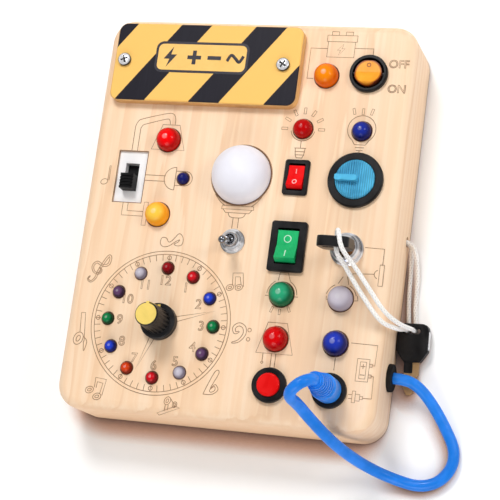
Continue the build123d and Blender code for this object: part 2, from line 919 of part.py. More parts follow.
groove_pitch = slide_handle_size[1] / (slide_handle_grooves + 1)
handle_y = slide_center[1] + handle_rest
with BuildPart() as slide_handle:
    with BuildSketch(Plane.XY.offset(slide_channel_top - snug)):
        with Locations((slide_center[0], handle_y)):
            Rectangle(*slide_foot)
    extrude(amount=-slide_foot_thickness)
    with BuildSketch(Plane.XY.offset(slide_channel_top - snug)):
        with Locations((slide_center[0], handle_y)):
            Rectangle(*slide_handle_size)
    extrude(amount=face_z + slide_handle_rise - slide_channel_top + snug)
    with Locations((slide_center[0], handle_y, face_z + slide_handle_rise)):
        with GridLocations(0, groove_pitch, 1, slide_handle_grooves):
            Box(
                slide_handle_size[0],
                slide_handle_groove,
                2 * slide_handle_groove,
                mode=Mode.SUBTRACT,
            )
save(slide_handle.part, "slide_handle")

# ================================================================ toggle switch
toggle_bush_top = face_z + toggle_bush_rise
toggle_pivot_z = toggle_bush_top - toggle_ball_sink
toggle_ball_radius = toggle_ball_diameter / 2
with BuildPart() as toggle_housing:
    with BuildSketch(Plane.XY.offset(wall_z)):
        with Locations(toggle_center):
            Rectangle(*toggle_body)
    extrude(amount=-toggle_body_depth)
    with Locations(at(toggle_center, wall_z)):
        Cylinder(toggle_bush_diameter / 2, toggle_bush_top - wall_z, align=bottom)
    chamfer(toggle_housing.faces().sort_by(Axis.Z)[-1].edges(), toggle_bush_chamfer)
    with Locations(at(toggle_center, toggle_bush_top)):
        Cylinder(
            toggle_ball_radius + running,
            toggle_ball_sink + toggle_ball_radius + running,
            align=top,
            mode=Mode.SUBTRACT,
        )
    with Locations(at(toggle_center, wall_z - toggle_body_depth)):
        with GridLocations(0, toggle_body[1] / 3, 1, 3):
            Box(toggle_terminal_width, terminal_thickness, terminal_length, align=top)
save(toggle_housing.part, "toggle_housing")

with BuildPart() as toggle_washer:
    with BuildSketch(Plane.XY.offset(face_z)):
        with Locations(toggle_center):
            Circle(toggle_washer_diameter / 2)
            Circle(toggle_bush_diameter / 2 + snug, mode=Mode.SUBTRACT)
    extrude(amount=toggle_washer_thickness)
save(toggle_washer.part, "toggle_washer")


def hex_nut(centers, z, flats, bore, thickness):
    """Hexagon nuts that lie from z upwards, one at each centre."""
    with BuildPart() as nuts:
        with BuildSketch(Plane.XY.offset(z)):
            with Locations(*centers):
                RegularPolygon(flats / 2, 6, major_radius=False)
        extrude(amount=thickness)
        with BuildSketch(Plane.XY.offset(z)):
            with Locations(*centers):
                Circle(bore / 2)
        extrude(amount=thickness, mode=Mode.SUBTRACT)
    return nuts.part


save(
    hex_nut(
        [toggle_center],
        face_z + toggle_washer_thickness,
        toggle_nut_flats,
        toggle_bush_diameter + 2 * snug,
        toggle_nut_thickness,
    ),
    "toggle_nut",
)

# the lever leans towards the lower edge
lever_plane = Plane(
    origin=at(toggle_center, toggle_pivot_z),
    x_dir=(1, 0, 0),
    z_dir=(0, -math.sin(math.radians(toggle_tilt)), math.cos(math.radians(toggle_tilt))),
)
lever_length = face_z + toggle_tip_rise - toggle_pivot_z
with BuildPart(lever_plane) as toggle_lever:
    Sphere(toggle_ball_radius)
    Cone(
        toggle_root_diameter / 2,
        toggle_tip_diameter / 2,
        lever_length - toggle_tip_diameter / 2,
        align=bottom,
    )
    with Locations((0, 0, lever_length - toggle_tip_diameter / 2)):
        Sphere(toggle_tip_diameter / 2)
save(toggle_lever.part, "toggle_lever")

# ================================================================ key lock
lock_face_z = face_z + lock_nose_rise
with BuildPart() as lock_barrel:
    with Locations(at(lock_center, face_z)):
        Cylinder(lock_flange_diameter / 2, lock_flange_thickness, align=bottom)
    chamfer(lock_barrel.faces().sort_by(Axis.Z)[-1].edges(), lock_flange_chamfer)
    with Locations(at(lock_center, face_z - lock_depth)):
        Cylinder(panel_thread_diameter / 2, lock_depth + lock_nose_rise, align=bottom)
    chamfer(lock_barrel.faces().sort_by(Axis.Z)[-1].edges(), lock_nose_chamfer)
    with Locations(at(lock_center, lock_face_z)):
        Cylinder(
            lock_rotor_diameter / 2 + running,
            lock_depth + lock_nose_rise - lock_floor,
            align=top,
            mode=Mode.SUBTRACT,
        )
save(lock_barrel.part, "lock_barrel")

# the keyway is wide enough for the blade to droop in it
lock_rotor_top = lock_face_z - lock_rotor_step
lean = math.radians(key_lean)
keyway = (
    key_blade_width + 2 * snug,
    key_blade_thickness / math.cos(lean) + key_in_lock * math.tan(lean) + 2 * snug,
)
with BuildPart() as lock_rotor:
    with Locations(at(lock_center, lock_rotor_top)):
        Cylinder(
            lock_rotor_diameter / 2,
            lock_rotor_top - (face_z - lock_depth + lock_floor) - snug,
            align=top,
        )
    with BuildSketch(Plane.XY.offset(lock_rotor_top)):
        with Locations(lock_center):
            Rectangle(*keyway)
    extrude(amount=-(key_in_lock + free_gap), mode=Mode.SUBTRACT)
save(lock_rotor.part, "lock_rotor")

# ================================================================ keys
# each key lies in a plane with its head's foot at the origin and its head along the plane's Y
key_foot = key_blade_length - key_in_lock / 2
lock_key_plane = Plane(
    origin=(
        lock_center[0],
        lock_center[1] - key_foot * math.sin(lean),
        lock_rotor_top - key_in_lock / 2 + key_foot * math.cos(lean),
    ),
    x_dir=(1, 0, 0),
    z_dir=(0, -math.cos(lean), -math.sin(lean)),
)
yaw = math.radians(spare_key_yaw)
pitch = math.radians(spare_key_pitch)
spare_along = (
    -math.sin(yaw) * math.cos(pitch),
    math.cos(yaw) * math.cos(pitch),
    math.sin(pitch),
)
spare_key_plane = Plane(
    origin=(
        spare_key_center[0] - spare_along[0] * key_head_length / 2,
        spare_key_center[1] - spare_along[1] * key_head_length / 2,
        spare_key_lift,
    ),
    x_dir=(math.cos(yaw), math.sin(yaw), 0),
    z_dir=(math.sin(yaw) * math.sin(pitch), -math.cos(yaw) * math.sin(pitch), math.cos(pitch)),
)

key_trim_center = key_shoulder_length + key_trim_end_gap + key_trim_length / 2
key_eye = key_head_length - key_bar - key_slot[1] / 2


def key_blade(plane):
    """The flat blade with its pointed tip and its cuts, and the tang inside the head."""
    half = key_blade_width / 2
    point = key_point_share * half
    with BuildPart() as piece:
        with BuildSketch(plane):
            Polygon(
                (-half, key_tang_length),
                (-half, -(key_blade_length - half)),
                (-point, -key_blade_length),
                (0, -key_blade_length),
                (half, -(key_blade_length - half)),
                (half, key_tang_length),
                align=None,
            )
            for share in key_cut_shares:
                with Locations((half, -share * key_blade_length)):
                    Rectangle(key_cut_size, key_cut_size, rotation=45, mode=Mode.SUBTRACT)
        extrude(amount=key_blade_thickness / 2, both=True)
    return piece.part


def key_head(plane, trim_side):
    """The moulded head, with its eye at the far end, a groove for the trim and the tang's slot."""
    half = key_head_width / 2
    shoulder = key_shoulder_width / 2
    with BuildPart() as piece:
        with BuildSketch(plane) as outline:
            Polygon(
                (-shoulder, 0),
                (shoulder, 0),
                (half, key_shoulder_length),
                (half, key_head_length),
                (-half, key_head_length),
                (-half, key_shoulder_length),
                align=None,
            )
            corners = outline.vertices().sort_by(Axis.Y)
            fillet(corners[-2:], key_end_radius)
            fillet(corners[:-2], key_corner_radius)
        extrude(amount=key_head_thickness / 2, both=True)
        with BuildSketch(plane):
            with Locations((key_neck_shift, -key_neck_length / 2)):
                Rectangle(key_neck_width, key_neck_length)
        extrude(amount=key_neck_thickness / 2, both=True)
        with BuildSketch(plane):
            with Locations((key_slot_shift, key_eye)):
                RectangleRounded(*key_slot, 0.45 * key_slot[1])
        extrude(amount=key_head_thickness, both=True, mode=Mode.SUBTRACT)
        with BuildSketch(plane):
            with Locations((trim_side * half, key_trim_center)):
                Rectangle(2 * key_trim_thickness, key_trim_length)
        extrude(amount=key_trim_width / 2, both=True, mode=Mode.SUBTRACT)
        with BuildSketch(plane):
            with Locations((0, (key_tang_length - key_neck_length) / 2)):
                Rectangle(key_blade_width, key_tang_length + key_neck_length)
        extrude(amount=key_blade_thickness / 2, both=True, mode=Mode.SUBTRACT)
    return piece.part


def key_trim(plane, trim_side):
    """The bright strip let into one edge of the head."""
    depth = key_trim_thickness + key_trim_proud
    with BuildPart() as piece:
        with BuildSketch(plane):
            with Locations(
                (
                    trim_side * (key_head_width / 2 + key_trim_proud - depth / 2),
                    key_trim_center,
                )
            ):
                Rectangle(depth, key_trim_length)
        extrude(amount=key_trim_width / 2, both=True)
    return piece.part


save(key_blade(lock_key_plane), "key_blade")
save(key_head(lock_key_plane, -1), "key_head")
save(key_trim(lock_key_plane, -1), "key_trim")
save(key_blade(spare_key_plane), "spare_key_blade")
save(key_head(spare_key_plane, 1), "spare_key_head")
save(key_trim(spare_key_plane, 1), "spare_key_trim")

# ================================================================ push button
button_top = face_z + button_bezel_height
cap_bottom = face_z + button_cap_rise - button_cap_length
spring_seat = face_z - button_depth + spring_floor
spring_length = cap_bottom - spring_seat
with BuildPart() as button_housing:
    with Locations(at(button_center, face_z)):
        Cylinder(button_bezel_diameter / 2, button_bezel_height, align=bottom)
    fillet(button_housing.faces().sort_by(Axis.Z)[-1].edges(), bezel_round)
    with Locations(at(button_center, face_z)):
        Cylinder(panel_thread_diameter / 2, button_depth, align=top)
    with Locations(at(button_center, button_top)):
        Cylinder(
            button_cap_diameter / 2 + snug,
            button_top - cap_bottom + button_travel + free_gap,
            align=top,
            mode=Mode.SUBTRACT,
        )
        Cylinder(
            (spring_diameter + spring_wire) / 2 + snug,
            button_top - spring_seat,
            align=top,
            mode=Mode.SUBTRACT,
        )
save(button_housing.part, "button_housing")

with BuildPart() as button_cap:
    with Locations(at(button_center, cap_bottom)):
        Cylinder(button_cap_diameter / 2, button_cap_length, align=bottom)
    fillet(button_cap.faces().sort_by(Axis.Z)[-1].edges(), button_cap_round)
    with Locations(at(button_center, cap_bottom)):
        Cylinder(
            button_stem_diameter / 2,
            spring_length - button_travel - free_gap,
            align=top,
        )
save(button_cap.part, "button_cap")

coil_length = spring_length - spring_wire
with BuildPart() as button_spring:
    with BuildLine():
        coil = Helix(
            coil_length / spring_turns,
            coil_length,
            spring_diameter / 2,
            center=at(button_center, spring_seat + spring_wire / 2),
        )
    with BuildSketch(Plane(origin=coil @ 0, z_dir=coil % 0)):
        Circle(spring_wire / 2)
    sweep(is_frenet=True)
save(button_spring.part, "button_spring")

# ================================================================ twelve-way selector
with BuildPart() as selector_switch:
    with Locations(at(clock_center, wall_z)):
        Cylinder(selector_body_diameter / 2, selector_body_depth, align=top)
    with Locations(at(clock_center, wall_z - selector_body_depth)):
        with PolarLocations(selector_body_diameter / 2 - selector_terminal_inset, 12):
            Box(terminal_thickness, selector_terminal_width, terminal_length, align=top)
    with Locations(at(clock_center, wall_z)):
        Cylinder(
            selector_bush_diameter / 2, face_wall + selector_bush_rise, align=bottom
        )
    with Locations(at(clock_center, face_z + selector_bush_rise)):
        Cylinder(
            selector_shaft_diameter / 2 + running,
            selector_bush_rise + face_wall + selector_body_depth / 2,
            align=top,
            mode=Mode.SUBTRACT,
        )
save(selector_switch.part, "selector_switch")

save(
    hex_nut(
        [clock_center],
        face_z,
        selector_nut_flats,
        selector_bush_diameter + 2 * snug,
        selector_nut_thickness,
    ),
    "selector_nut",
)

knob_bottom = face_z + knob_floor_gap
knob_end = knob_bottom + knob_height
knob_shaft_end = knob_end - cap_thickness - knob_shaft_room
with BuildPart() as selector_shaft:
    with Locations(at(clock_center, knob_shaft_end)):
        Cylinder(
            selector_shaft_diameter / 2,
            knob_shaft_end - (wall_z - selector_body_depth / 2) - snug,
            align=top,
        )
save(selector_shaft.part, "selector_shaft")

# the pointer is a fin that follows the knob's side, from the cap down to the skirt
skirt_radius = knob_skirt_diameter / 2
neck_radius = knob_neck_diameter / 2
tip_radius = knob_top_diameter / 2
pointer_root = cap_diameter / 2 - pointer_root_inset
pointer_foot = knob_bottom + knob_skirt_height
with BuildPart() as pointer_fin:
    with BuildSketch(Plane.YZ.offset(clock_center[0])):
        with Locations((clock_center[1], 0)):
            Polygon(
                (pointer_root, knob_end),
                (pointer_root, pointer_foot),
                (neck_radius + pointer_proud, pointer_foot),
                (tip_radius + pointer_proud, knob_end),
                align=None,
            )
            Polygon(
                (pointer_root, pointer_foot - pointer_proud),
                (skirt_radius - pointer_foot_inset, pointer_foot - pointer_proud),
                (skirt_radius - pointer_foot_inset, pointer_foot + pointer_proud),
                (pointer_root, pointer_foot + pointer_proud),
                align=None,
            )
    extrude(amount=pointer_width / 2, both=True)

with BuildPart() as knob_turned:
    with BuildSketch(Plane.XZ):
        Polygon(
            (0, knob_bottom),
            (skirt_radius, knob_bottom),
            (skirt_radius, pointer_foot - knob_skirt_edge),
            (skirt_radius - knob_skirt_edge, pointer_foot),
            (neck_radius, pointer_foot),
            (tip_radius, knob_end - knob_top_edge),
            (tip_radius - knob_top_edge, knob_end),
            (0, knob_end),
            align=None,
        )
    revolve(axis=Axis.Z)
    with Locations((0, 0, pointer_foot + knob_skirt_edge)):
        with PolarLocations(
            (neck_radius + tip_radius) / 2 + knob_flute_shift,
            knob_flutes,
            start_angle=180 / knob_flutes,
        ):
            Cylinder(knob_flute_diameter / 2, knob_height, align=bottom, mode=Mode.SUBTRACT)

with BuildPart() as selector_knob:
    with Locations(at(clock_center, 0)):
        add(knob_turned.part)
    with Locations(at(clock_center, knob_bottom)):
        Cylinder(
            knob_hollow_diameter / 2,
            knob_hollow_height,
            align=bottom,
            mode=Mode.SUBTRACT,
        )
        Cylinder(
            selector_shaft_diameter / 2,
            knob_shaft_end - knob_bottom,
            align=bottom,
            mode=Mode.SUBTRACT,
        )
    with Locations(at(clock_center, knob_end)):
        Cylinder(cap_diameter / 2, cap_thickness, align=top, mode=Mode.SUBTRACT)
    add(pointer_fin.part, mode=Mode.SUBTRACT)
save(selector_knob.part, "selector_knob")

with BuildPart() as selector_cap:
    with Locations(at(clock_center, knob_end)):
        Cylinder(cap_diameter / 2, cap_thickness, align=top)
    add(pointer_fin.part)
save(selector_cap.part, "selector_cap")

# ================================================================ socket, plug and panel nuts
socket_top = face_z + socket_bezel_height
with BuildPart() as socket_housing:
    with Locations(at(socket_center, face_z)):
        Cylinder(socket_bezel_diameter / 2, socket_bezel_height, align=bottom)
    fillet(socket_housing.faces().sort_by(Axis.Z)[-1].edges(), bezel_round)
    with Locations(at(socket_center, face_z)):
        Cylinder(panel_thread_diameter / 2, socket_depth, align=top)
    with Locations(at(socket_center, socket_top)):
        Cylinder(
            socket_bore_diameter / 2,
            socket_bezel_height + socket_depth - socket_floor,
            align=top,
            mode=Mode.SUBTRACT,
        )
    with Locations(at(socket_center, face_z - socket_depth)):
        Cylinder(socket_pin_diameter / 2, socket_depth, align=bottom)
save(socket_housing.part, "socket_housing")

boot_bottom = socket_top + boot_gap
ring_start = boot_bottom + boot_grip_length
boot_top = ring_start + boot_rings * boot_ring_pitch + boot_ring_height
with BuildPart() as plug_barrel:
    with BuildSketch(Plane.XY.offset(boot_bottom)):
        with Locations(socket_center):
            Circle(plug_barrel_diameter / 2)
            Circle(plug_barrel_bore / 2, mode=Mode.SUBTRACT)
    extrude(amount=-plug_barrel_length)
save(plug_barrel.part, "plug_barrel")

boot_radius = boot_diameter / 2
with BuildPart() as plug_boot:
    with Locations(at(socket_center, boot_bottom)):
        Cylinder(boot_radius, boot_grip_length, align=bottom)
    grip_ends = plug_boot.edges().filter_by(GeomType.CIRCLE)
    fillet(grip_ends.sort_by(Axis.Z)[-1], boot_grip_round)
    fillet(plug_boot.edges().filter_by(GeomType.CIRCLE).sort_by(Axis.Z)[0], bezel_round)
    with Locations(at(socket_center, boot_bottom)):
        Cylinder(boot_core_diameter / 2, boot_top - boot_bottom, align=bottom)
    for ring in range(boot_rings):
        share = ring / (boot_rings - 1)
        diameter = boot_first_ring + share * (boot_last_ring - boot_first_ring)
        ring_z = ring_start + ring * boot_ring_pitch + boot_ring_pitch - boot_ring_height
        with Locations(at(socket_center, ring_z)):
            Cylinder(diameter / 2, boot_ring_height, align=bottom)
save(plug_boot.part, "plug_boot")

save(
    hex_nut(
        [lock_center, button_center, socket_center],
        wall_z - panel_nut_thickness,
        panel_nut_flats,
        panel_thread_diameter + 2 * snug,
        panel_nut_thickness,
    ),
    "panel_nuts",
)

# ================================================================ cable, grommet and key string
with BuildPart() as cable_grommet:
    with Locations((side_x, *grommet_center)):
        Cylinder(
            grommet_flange_diameter / 2,
            grommet_flange_thickness,
            rotation=(0, 90, 0),
            align=bottom,
        )
    fillet(cable_grommet.faces().sort_by(Axis.X)[-1].edges(), bezel_round)
    with Locations((side_x, *grommet_center)):
        Cylinder(
            grommet_sleeve_diameter / 2,
            side_wall,
            rotation=(0, -90, 0),
            align=bottom,
        )
    with Locations((side_x + grommet_flange_thickness, *grommet_center)):
        Cylinder(
            cable_diameter / 2 + snug,
            side_wall + grommet_flange_thickness,
            rotation=(0, -90, 0),
            align=bottom,
            mode=Mode.SUBTRACT,
        )
save(cable_grommet.part, "cable_grommet")


def laid_tube(name, points, diameter):
    """A cord along straight runs joined by arcs as large as the runs allow."""
    route = [Vector(*point) for point in points]
    runs = [after - before for before, after in zip(route, route[1:])]
    radii = []
    for run, next_run in zip(runs, runs[1:]):
        half_turn = math.radians(run.get_angle(next_run)) / 2
        radii.append(0.45 * min(run.length, next_run.length) / math.tan(half_turn))
    print(name, "bend radii", [round(radius, 1) for radius in radii])
    with BuildPart() as tube:
        with BuildLine() as path:
            FilletPolyline(*route, radius=radii)
        with BuildSketch(Plane(origin=route[0], z_dir=runs[0])):
            Circle(diameter / 2)
        sweep()
    length = sum(edge.length for edge in path.edges())
    section = math.pi * diameter**2 / 4
    print(name, "length", round(length, 1), "volume share", tube.part.volume / (length * section))
    save(tube.part, name)


def from_center(center, across, up, z):
    """A point beside a centre on the face, at height z."""
    return (center[0] + across, center[1] + up, z)


low_corner = (side_x, low_y)  # the corner that the cable lies round
cable_floor = cable_diameter / 2 + 2 * cord_floor_gap
laid_tube(
    "cable",
    [
        at(socket_center, boot_top),
        at(socket_center, boot_top + 4.3),
        from_center(socket_center, -3.2, -1.1, boot_top + 6.6),
        from_center(socket_center, -6.6, -3.7, 59.4),
        from_center(socket_center, -7.2, -8.0, 54.2),
        from_center(socket_center, -3.4, -13.7, 45.4),
        from_center(low_corner, -15.7, -3.2, 33.5),
        from_center(low_corner, -9.7, -7.6, 18.5),
        from_center(low_corner, -2.9, -10.6, 7.4),
        from_center(low_corner, 6.1, -13.2, 2.9),
        from_center(low_corner, 15.9, -15.0, cable_floor),
        from_center(low_corner, 23.7, -12.2, cable_floor),
        from_center(low_corner, 28.3, -5.6, cable_floor),
        from_center(low_corner, 28.1, 1.8, cable_floor),
        from_center(low_corner, 24.1, 8.8, cable_floor + 0.2),
        from_center(low_corner, 19.9, 15.4, 4.2),
        from_center(low_corner, 14.9, 21.8, 7.2),
        from_center(low_corner, 10.1, 25.5, 9.6),
        (side_x + 4.9, *grommet_center),
        (side_x + grommet_flange_thickness - cable_entry, *grommet_center),
    ],
    cable_diameter,
)

# one cord: out of the side, under the spare key's bar and up through its eye, over the edge to
# the eye of the key in the lock, round that bar, and back beside itself
string_floor = string_diameter / 2 + cord_floor_gap
string_y, string_z = string_hole_center
strand = strand_share * string_diameter
key_side = key_head_thickness / 2
over_bar = key_head_length + 1.3


def on_key(across, up, out):
    """A point beside the head of the key in the lock, in the key's own plane."""
    return tuple(lock_key_plane.from_local_coords((across, up, out)))


laid_tube(
    "key_string",
    [
        (side_x - string_entry, string_y, string_z - strand),
        (side_x + 1.8, string_y - 0.2, string_z - strand),
        (side_x + 2.0, -6.5, 2.9),
        (side_x + 2.1, -14.0, string_floor),
        (side_x + 2.3, -22.0, string_floor),
        (side_x + 3.0, -29.5, string_floor),
        from_center(spare_key_center, -2.9, 4.8, string_floor),
        from_center(spare_key_center, -3.0, 4.7, 8.2),
        from_center(spare_key_center, -2.9, 2.6, 17.0),
        from_center(spare_key_center, -2.9, 0.9, 28.0),
        (67.0, -40.8, 35.5),
        (60.0, -31.8, 41.5),
        (55.4, -25.2, 46.0),
        (52.8, -21.0, 49.5),
        on_key(1.2, key_eye, key_side + 1.7),
        on_key(1.2, key_eye, -key_side - 2.25),
        on_key(2.8, over_bar, -key_side - 2.25),
        on_key(4.4, over_bar, key_side + 0.8),
        (57.4, -21.9, 49.5),
        (63.4, -30.0, 43.5),
        (68.6, -37.1, 37.5),
        from_center(spare_key_center, -1.2, 2.5, 29.0),
        from_center(spare_key_center, -0.3, 3.6, 17.0),
        from_center(spare_key_center, 0.1, 4.7, 8.2),
        from_center(spare_key_center, 0.2, 4.8, string_floor),
        (side_x + 5.6, -28.5, string_floor),
        (side_x + 5.4, -21.0, string_floor),
        (side_x + 5.3, -13.0, 2.6),
        (side_x + 4.4, -6.0, 5.2),
        (side_x + 2.5, string_y - 0.3, string_z + strand),
        (side_x - string_entry + 0.5, string_y, string_z + strand),
    ],
    string_diameter,
)
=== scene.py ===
"""Wooden busy board: finishes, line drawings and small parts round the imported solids.

Sizes in the classes are in millimetres, where nothing else is said. They become metres where
a mesh, a curve or a lamp is made. The inputs of the Geometry Nodes trees are in metres.
"""

import logging
import math
from dataclasses import dataclass
from enum import Enum
from typing import Callable

import bmesh
import bpy
from mathutils import Matrix, Vector
from mathutils.bvhtree import BVHTree


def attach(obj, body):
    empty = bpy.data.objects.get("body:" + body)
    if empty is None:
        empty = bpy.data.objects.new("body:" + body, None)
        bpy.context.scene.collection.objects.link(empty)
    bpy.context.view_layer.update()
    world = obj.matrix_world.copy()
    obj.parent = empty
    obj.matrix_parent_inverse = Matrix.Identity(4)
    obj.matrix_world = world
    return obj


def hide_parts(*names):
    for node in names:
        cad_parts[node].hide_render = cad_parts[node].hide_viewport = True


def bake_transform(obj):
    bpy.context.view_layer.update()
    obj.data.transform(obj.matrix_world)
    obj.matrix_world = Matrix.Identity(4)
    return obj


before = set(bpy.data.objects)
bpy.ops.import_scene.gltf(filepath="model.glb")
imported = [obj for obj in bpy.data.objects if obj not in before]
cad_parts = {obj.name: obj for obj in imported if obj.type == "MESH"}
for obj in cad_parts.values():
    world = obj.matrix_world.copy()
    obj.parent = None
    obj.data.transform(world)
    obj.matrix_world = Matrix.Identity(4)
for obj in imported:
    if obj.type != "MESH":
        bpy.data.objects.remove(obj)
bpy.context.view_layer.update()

log = logging.getLogger("busy_board")
MM = 0.001
FACE = 30.0  # height of the board's face, in millimetres

Tint = tuple[int, int, int]
Point = tuple[float, float]
Place = tuple[float, float, float]
Quad = tuple[float, float, float, float]
Colour = tuple[float, float, float, float]
Shape = tuple[list[Place], list[tuple[int, ...]]]


class Body(Enum):
    """The bodies that pieces ride on."""

    BOARD = "board"
    POWER = "power_rocker"
    RED = "red_rocker"
    GREEN = "green_rocker"
    KEY = "key"
    PLUG = "plug"


def paint(red: int, green: int, blue: int) -> Colour:
    """Turns an 8-bit screen colour into the linear one that a shader takes.

    Args:
        red, green, blue: The channels, from 0 to 255.

    Returns:
        The linear colour with full alpha.
    """
    linear = [
        c / 12.92 if c <= 0.04045 else ((c + 0.055) / 1.055) ** 2.4
        for c in (red / 255, green / 255, blue / 255)
    ]
    return (*linear, 1.0)


def shifted(colour: Colour, gain: float, lift: float = 0.0) -> Colour:
    """A linear colour times the gain plus the lift, no brighter than white."""
    return (*(min(1.0, c * gain + lift) for c in colour[:3]), 1.0)


def swung(centre: Point, x: float, y: float, turn: float) -> Point:
    """The place x across and y up from the centre, turned about it by that many degrees."""
    c, s = math.cos(math.radians(turn)), math.sin(math.radians(turn))
    return (centre[0] + x * c - y * s, centre[1] + x * s + y * c)


def added(name: str, data: bpy.types.ID) -> bpy.types.Object:
    """A new object of the scene that holds the data."""
    made = bpy.data.objects.new(name, data)
    bpy.context.scene.collection.objects.link(made)
    return made


def settled(name: str, holder: bpy.types.Object) -> bpy.types.Mesh:
    """The mesh that an object comes to. The object itself is taken away."""
    graph = bpy.context.evaluated_depsgraph_get()
    mesh = bpy.data.meshes.new_from_object(holder.evaluated_get(graph), depsgraph=graph)
    mesh.name = name
    bpy.data.objects.remove(holder)
    return mesh


# ------------------------------------------------------------------ node trees


def sum_of(operation: str, swapped: bool = False) -> "Callable[[Val, Val | float], Val]":
    """Makes a method of Val out of one of the Math node's operations.

    Args:
        operation: The node's operation.
        swapped: Whether the other value comes first.

    Returns:
        The method.
    """

    def method(self: "Val", other: "Val | float") -> "Val":
        """The operation on this and the other value."""
        return self.desk.math(operation, *((other, self) if swapped else (self, other)))

    return method


class Val:
    """A socket of a node tree that can stand in a sum."""

    def __init__(self, desk: "Desk", socket: bpy.types.NodeSocket) -> None:
        """Keeps the socket, and the desk that adds nodes for it."""
        self.desk = desk
        self.socket = socket

    __add__ = __radd__ = sum_of("ADD")
    __sub__ = sum_of("SUBTRACT")
    __rsub__ = sum_of("SUBTRACT", swapped=True)
    __mul__ = __rmul__ = sum_of("MULTIPLY")
    __truediv__ = sum_of("DIVIDE")
    __pow__ = sum_of("POWER")
    most = sum_of("MAXIMUM")

    def does(self, operation: str) -> "Val":
        """One of the Math node's operations on this value alone."""
        return self.desk.math(operation, self)

    def fade(self, low: float, high: float) -> "Val":
        """Runs smoothly from 0 at low to 1 at high."""
        return self.desk.value("ShaderNodeMapRange", {"interpolation_type": "SMOOTHSTEP"},
                               {"Value": self, "From Min": low, "From Max": high})


class Desk:
    """Adds nodes to one tree."""

    def __init__(self, tree: bpy.types.NodeTree) -> None:
        """Keeps the tree."""
        self.tree = tree

    def node(
        self, kind: str, settings: dict | None = None, sockets: dict | None = None
    ) -> bpy.types.Node:
        """Adds a node.

        Args:
            kind: The node's type.
            settings: Its properties, which are set first.
            sockets: Values or links, by the input's name or number.

        Returns:
            The node.
        """
        made = self.tree.nodes.new(kind)
        for key, value in (settings or {}).items():
            setattr(made, key, value)
        for key, value in (sockets or {}).items():
            if isinstance(value, Val):
                self.tree.links.new(value.socket, made.inputs[key])
            else:
                made.inputs[key].default_value = value
        return made

    def get(self, node: bpy.types.Node, name: str | int = 0) -> Val:
        """An output of a node."""
        return Val(self, node.outputs[name])

    def value(self, kind: str, settings: dict | None = None, sockets: dict | None = None,
              name: str | int = 0) -> Val:
        """Adds a node, as above, and gives one of its outputs."""
        return self.get(self.node(kind, settings, sockets), name)

    def math(self, operation: str, *values: Val | float) -> Val:
        """A Math node on the values."""
        return self.value("ShaderNodeMath", {"operation": operation}, dict(enumerate(values)))

    def trio(self, x: Val | float, y: Val | float, z: Val | float) -> Val:
        """A vector of three values."""
        return self.value("ShaderNodeCombineXYZ", None, {0: x, 1: y, 2: z})

    def split(self, vector: Val) -> list[Val]:
        """The three values of a vector."""
        made = self.node("ShaderNodeSeparateXYZ", None, {0: vector})
        return [self.get(made, i) for i in range(3)]

    def scaled(self, vector: Val, by: Val | float) -> Val:
        """A vector times a value."""
        return self.value("ShaderNodeVectorMath", {"operation": "SCALE"},
                          {0: vector, "Scale": by})

    def mix(self, share: Val | float, first: Val | Colour | Tint,
            second: Val | Colour | Tint) -> Val:
        """Blends two colours by a share. A screen colour of three channels is painted first."""
        first, second = (paint(*c) if isinstance(c, tuple) and len(c) == 3 else c
                         for c in (first, second))
        return self.value("ShaderNodeMix", {"data_type": "RGBA"},
                          {0: share, 6: first, 7: second}, 2)

    def far(self, x: Val, y: Val, centre: Point) -> Val:
        """How far a place is from the centre."""
        across, up = x - centre[0], y - centre[1]
        return (across * across + up * up).does("SQRT")


class Skin(Desk):
    """The tree of one material, round a Principled shader."""

    def __init__(self, name: str, **constants: "float | Colour") -> None:
        """Makes the material, with what is the same all over set on its shader."""
        self.material = bpy.data.materials.new(name)
        self.material.use_nodes = True
        super().__init__(self.material.node_tree)
        self.tree.nodes.clear()
        named = {key.replace("_", " ").title().replace("Ior", "IOR"): value
                 for key, value in constants.items()}
        self.shader = self.node("ShaderNodeBsdfPrincipled", None, named)
        self.node("ShaderNodeOutputMaterial", None, {0: self.get(self.shader)})
        self.where = self.value("ShaderNodeTexCoord", name="Object")

    def axes(self) -> list[Val]:
        """Object coordinates in millimetres, one value for each axis."""
        return self.split(self.scaled(self.where, 1 / MM))

    def normal(self) -> list[Val]:
        """The three values of the direction that the surface faces."""
        return self.split(self.value("ShaderNodeNewGeometry", name="Normal"))

    def noise(self, pitch: float | Place, detail: float = 2.0, rough: float = 0.5,
              warp: float = 0.0, shift: Place = (0, 0, 0), turn: float = 0.0) -> Val:
        """Adds noise.

        Args:
            pitch: The size of its lumps in millimetres, the same or one for each axis.
            detail: How many finer layers it has.
            rough: How strong they are.
            warp: How far it is bent.
            shift: Where it starts, so that two noises differ.
            turn: Its turn about the upright axis, in radians.

        Returns:
            The noise, from 0 to 1.
        """
        steps = pitch if isinstance(pitch, tuple) else (pitch,) * 3
        spot = self.value("ShaderNodeMapping", None, {
            "Vector": self.where, "Location": shift, "Rotation": (0, 0, turn),
            "Scale": tuple(1 / MM / step for step in steps),
        })
        return self.value("ShaderNodeTexNoise", None, {
            "Vector": spot, "Scale": 1.0, "Detail": detail, "Roughness": rough, "Distortion": warp,
        })

    def wear(self, **links: Val) -> None:
        """Links what changes over the surface to the shader, by socket name."""
        for key, value in links.items():
            self.tree.links.new(value.socket, self.shader.inputs[key.replace("_", " ")])

    def done(self, base: Val, rough: Val, height: Val, depth: float,
             share: float = 0.5) -> bpy.types.Material:
        """Ends the material.

        Args:
            base: Its colour.
            rough: Its roughness.
            height: Its bumps, from 0 to about 1.
            depth: How deep they are, in millimetres.
            share: How much of them shows.

        Returns:
            The material.
        """
        self.wear(Base_Color=base, Roughness=rough)
        self.wear(Normal=self.value("ShaderNodeBump", None, {
            "Strength": share, "Distance": depth * MM, "Height": height,
        }))
        return self.material


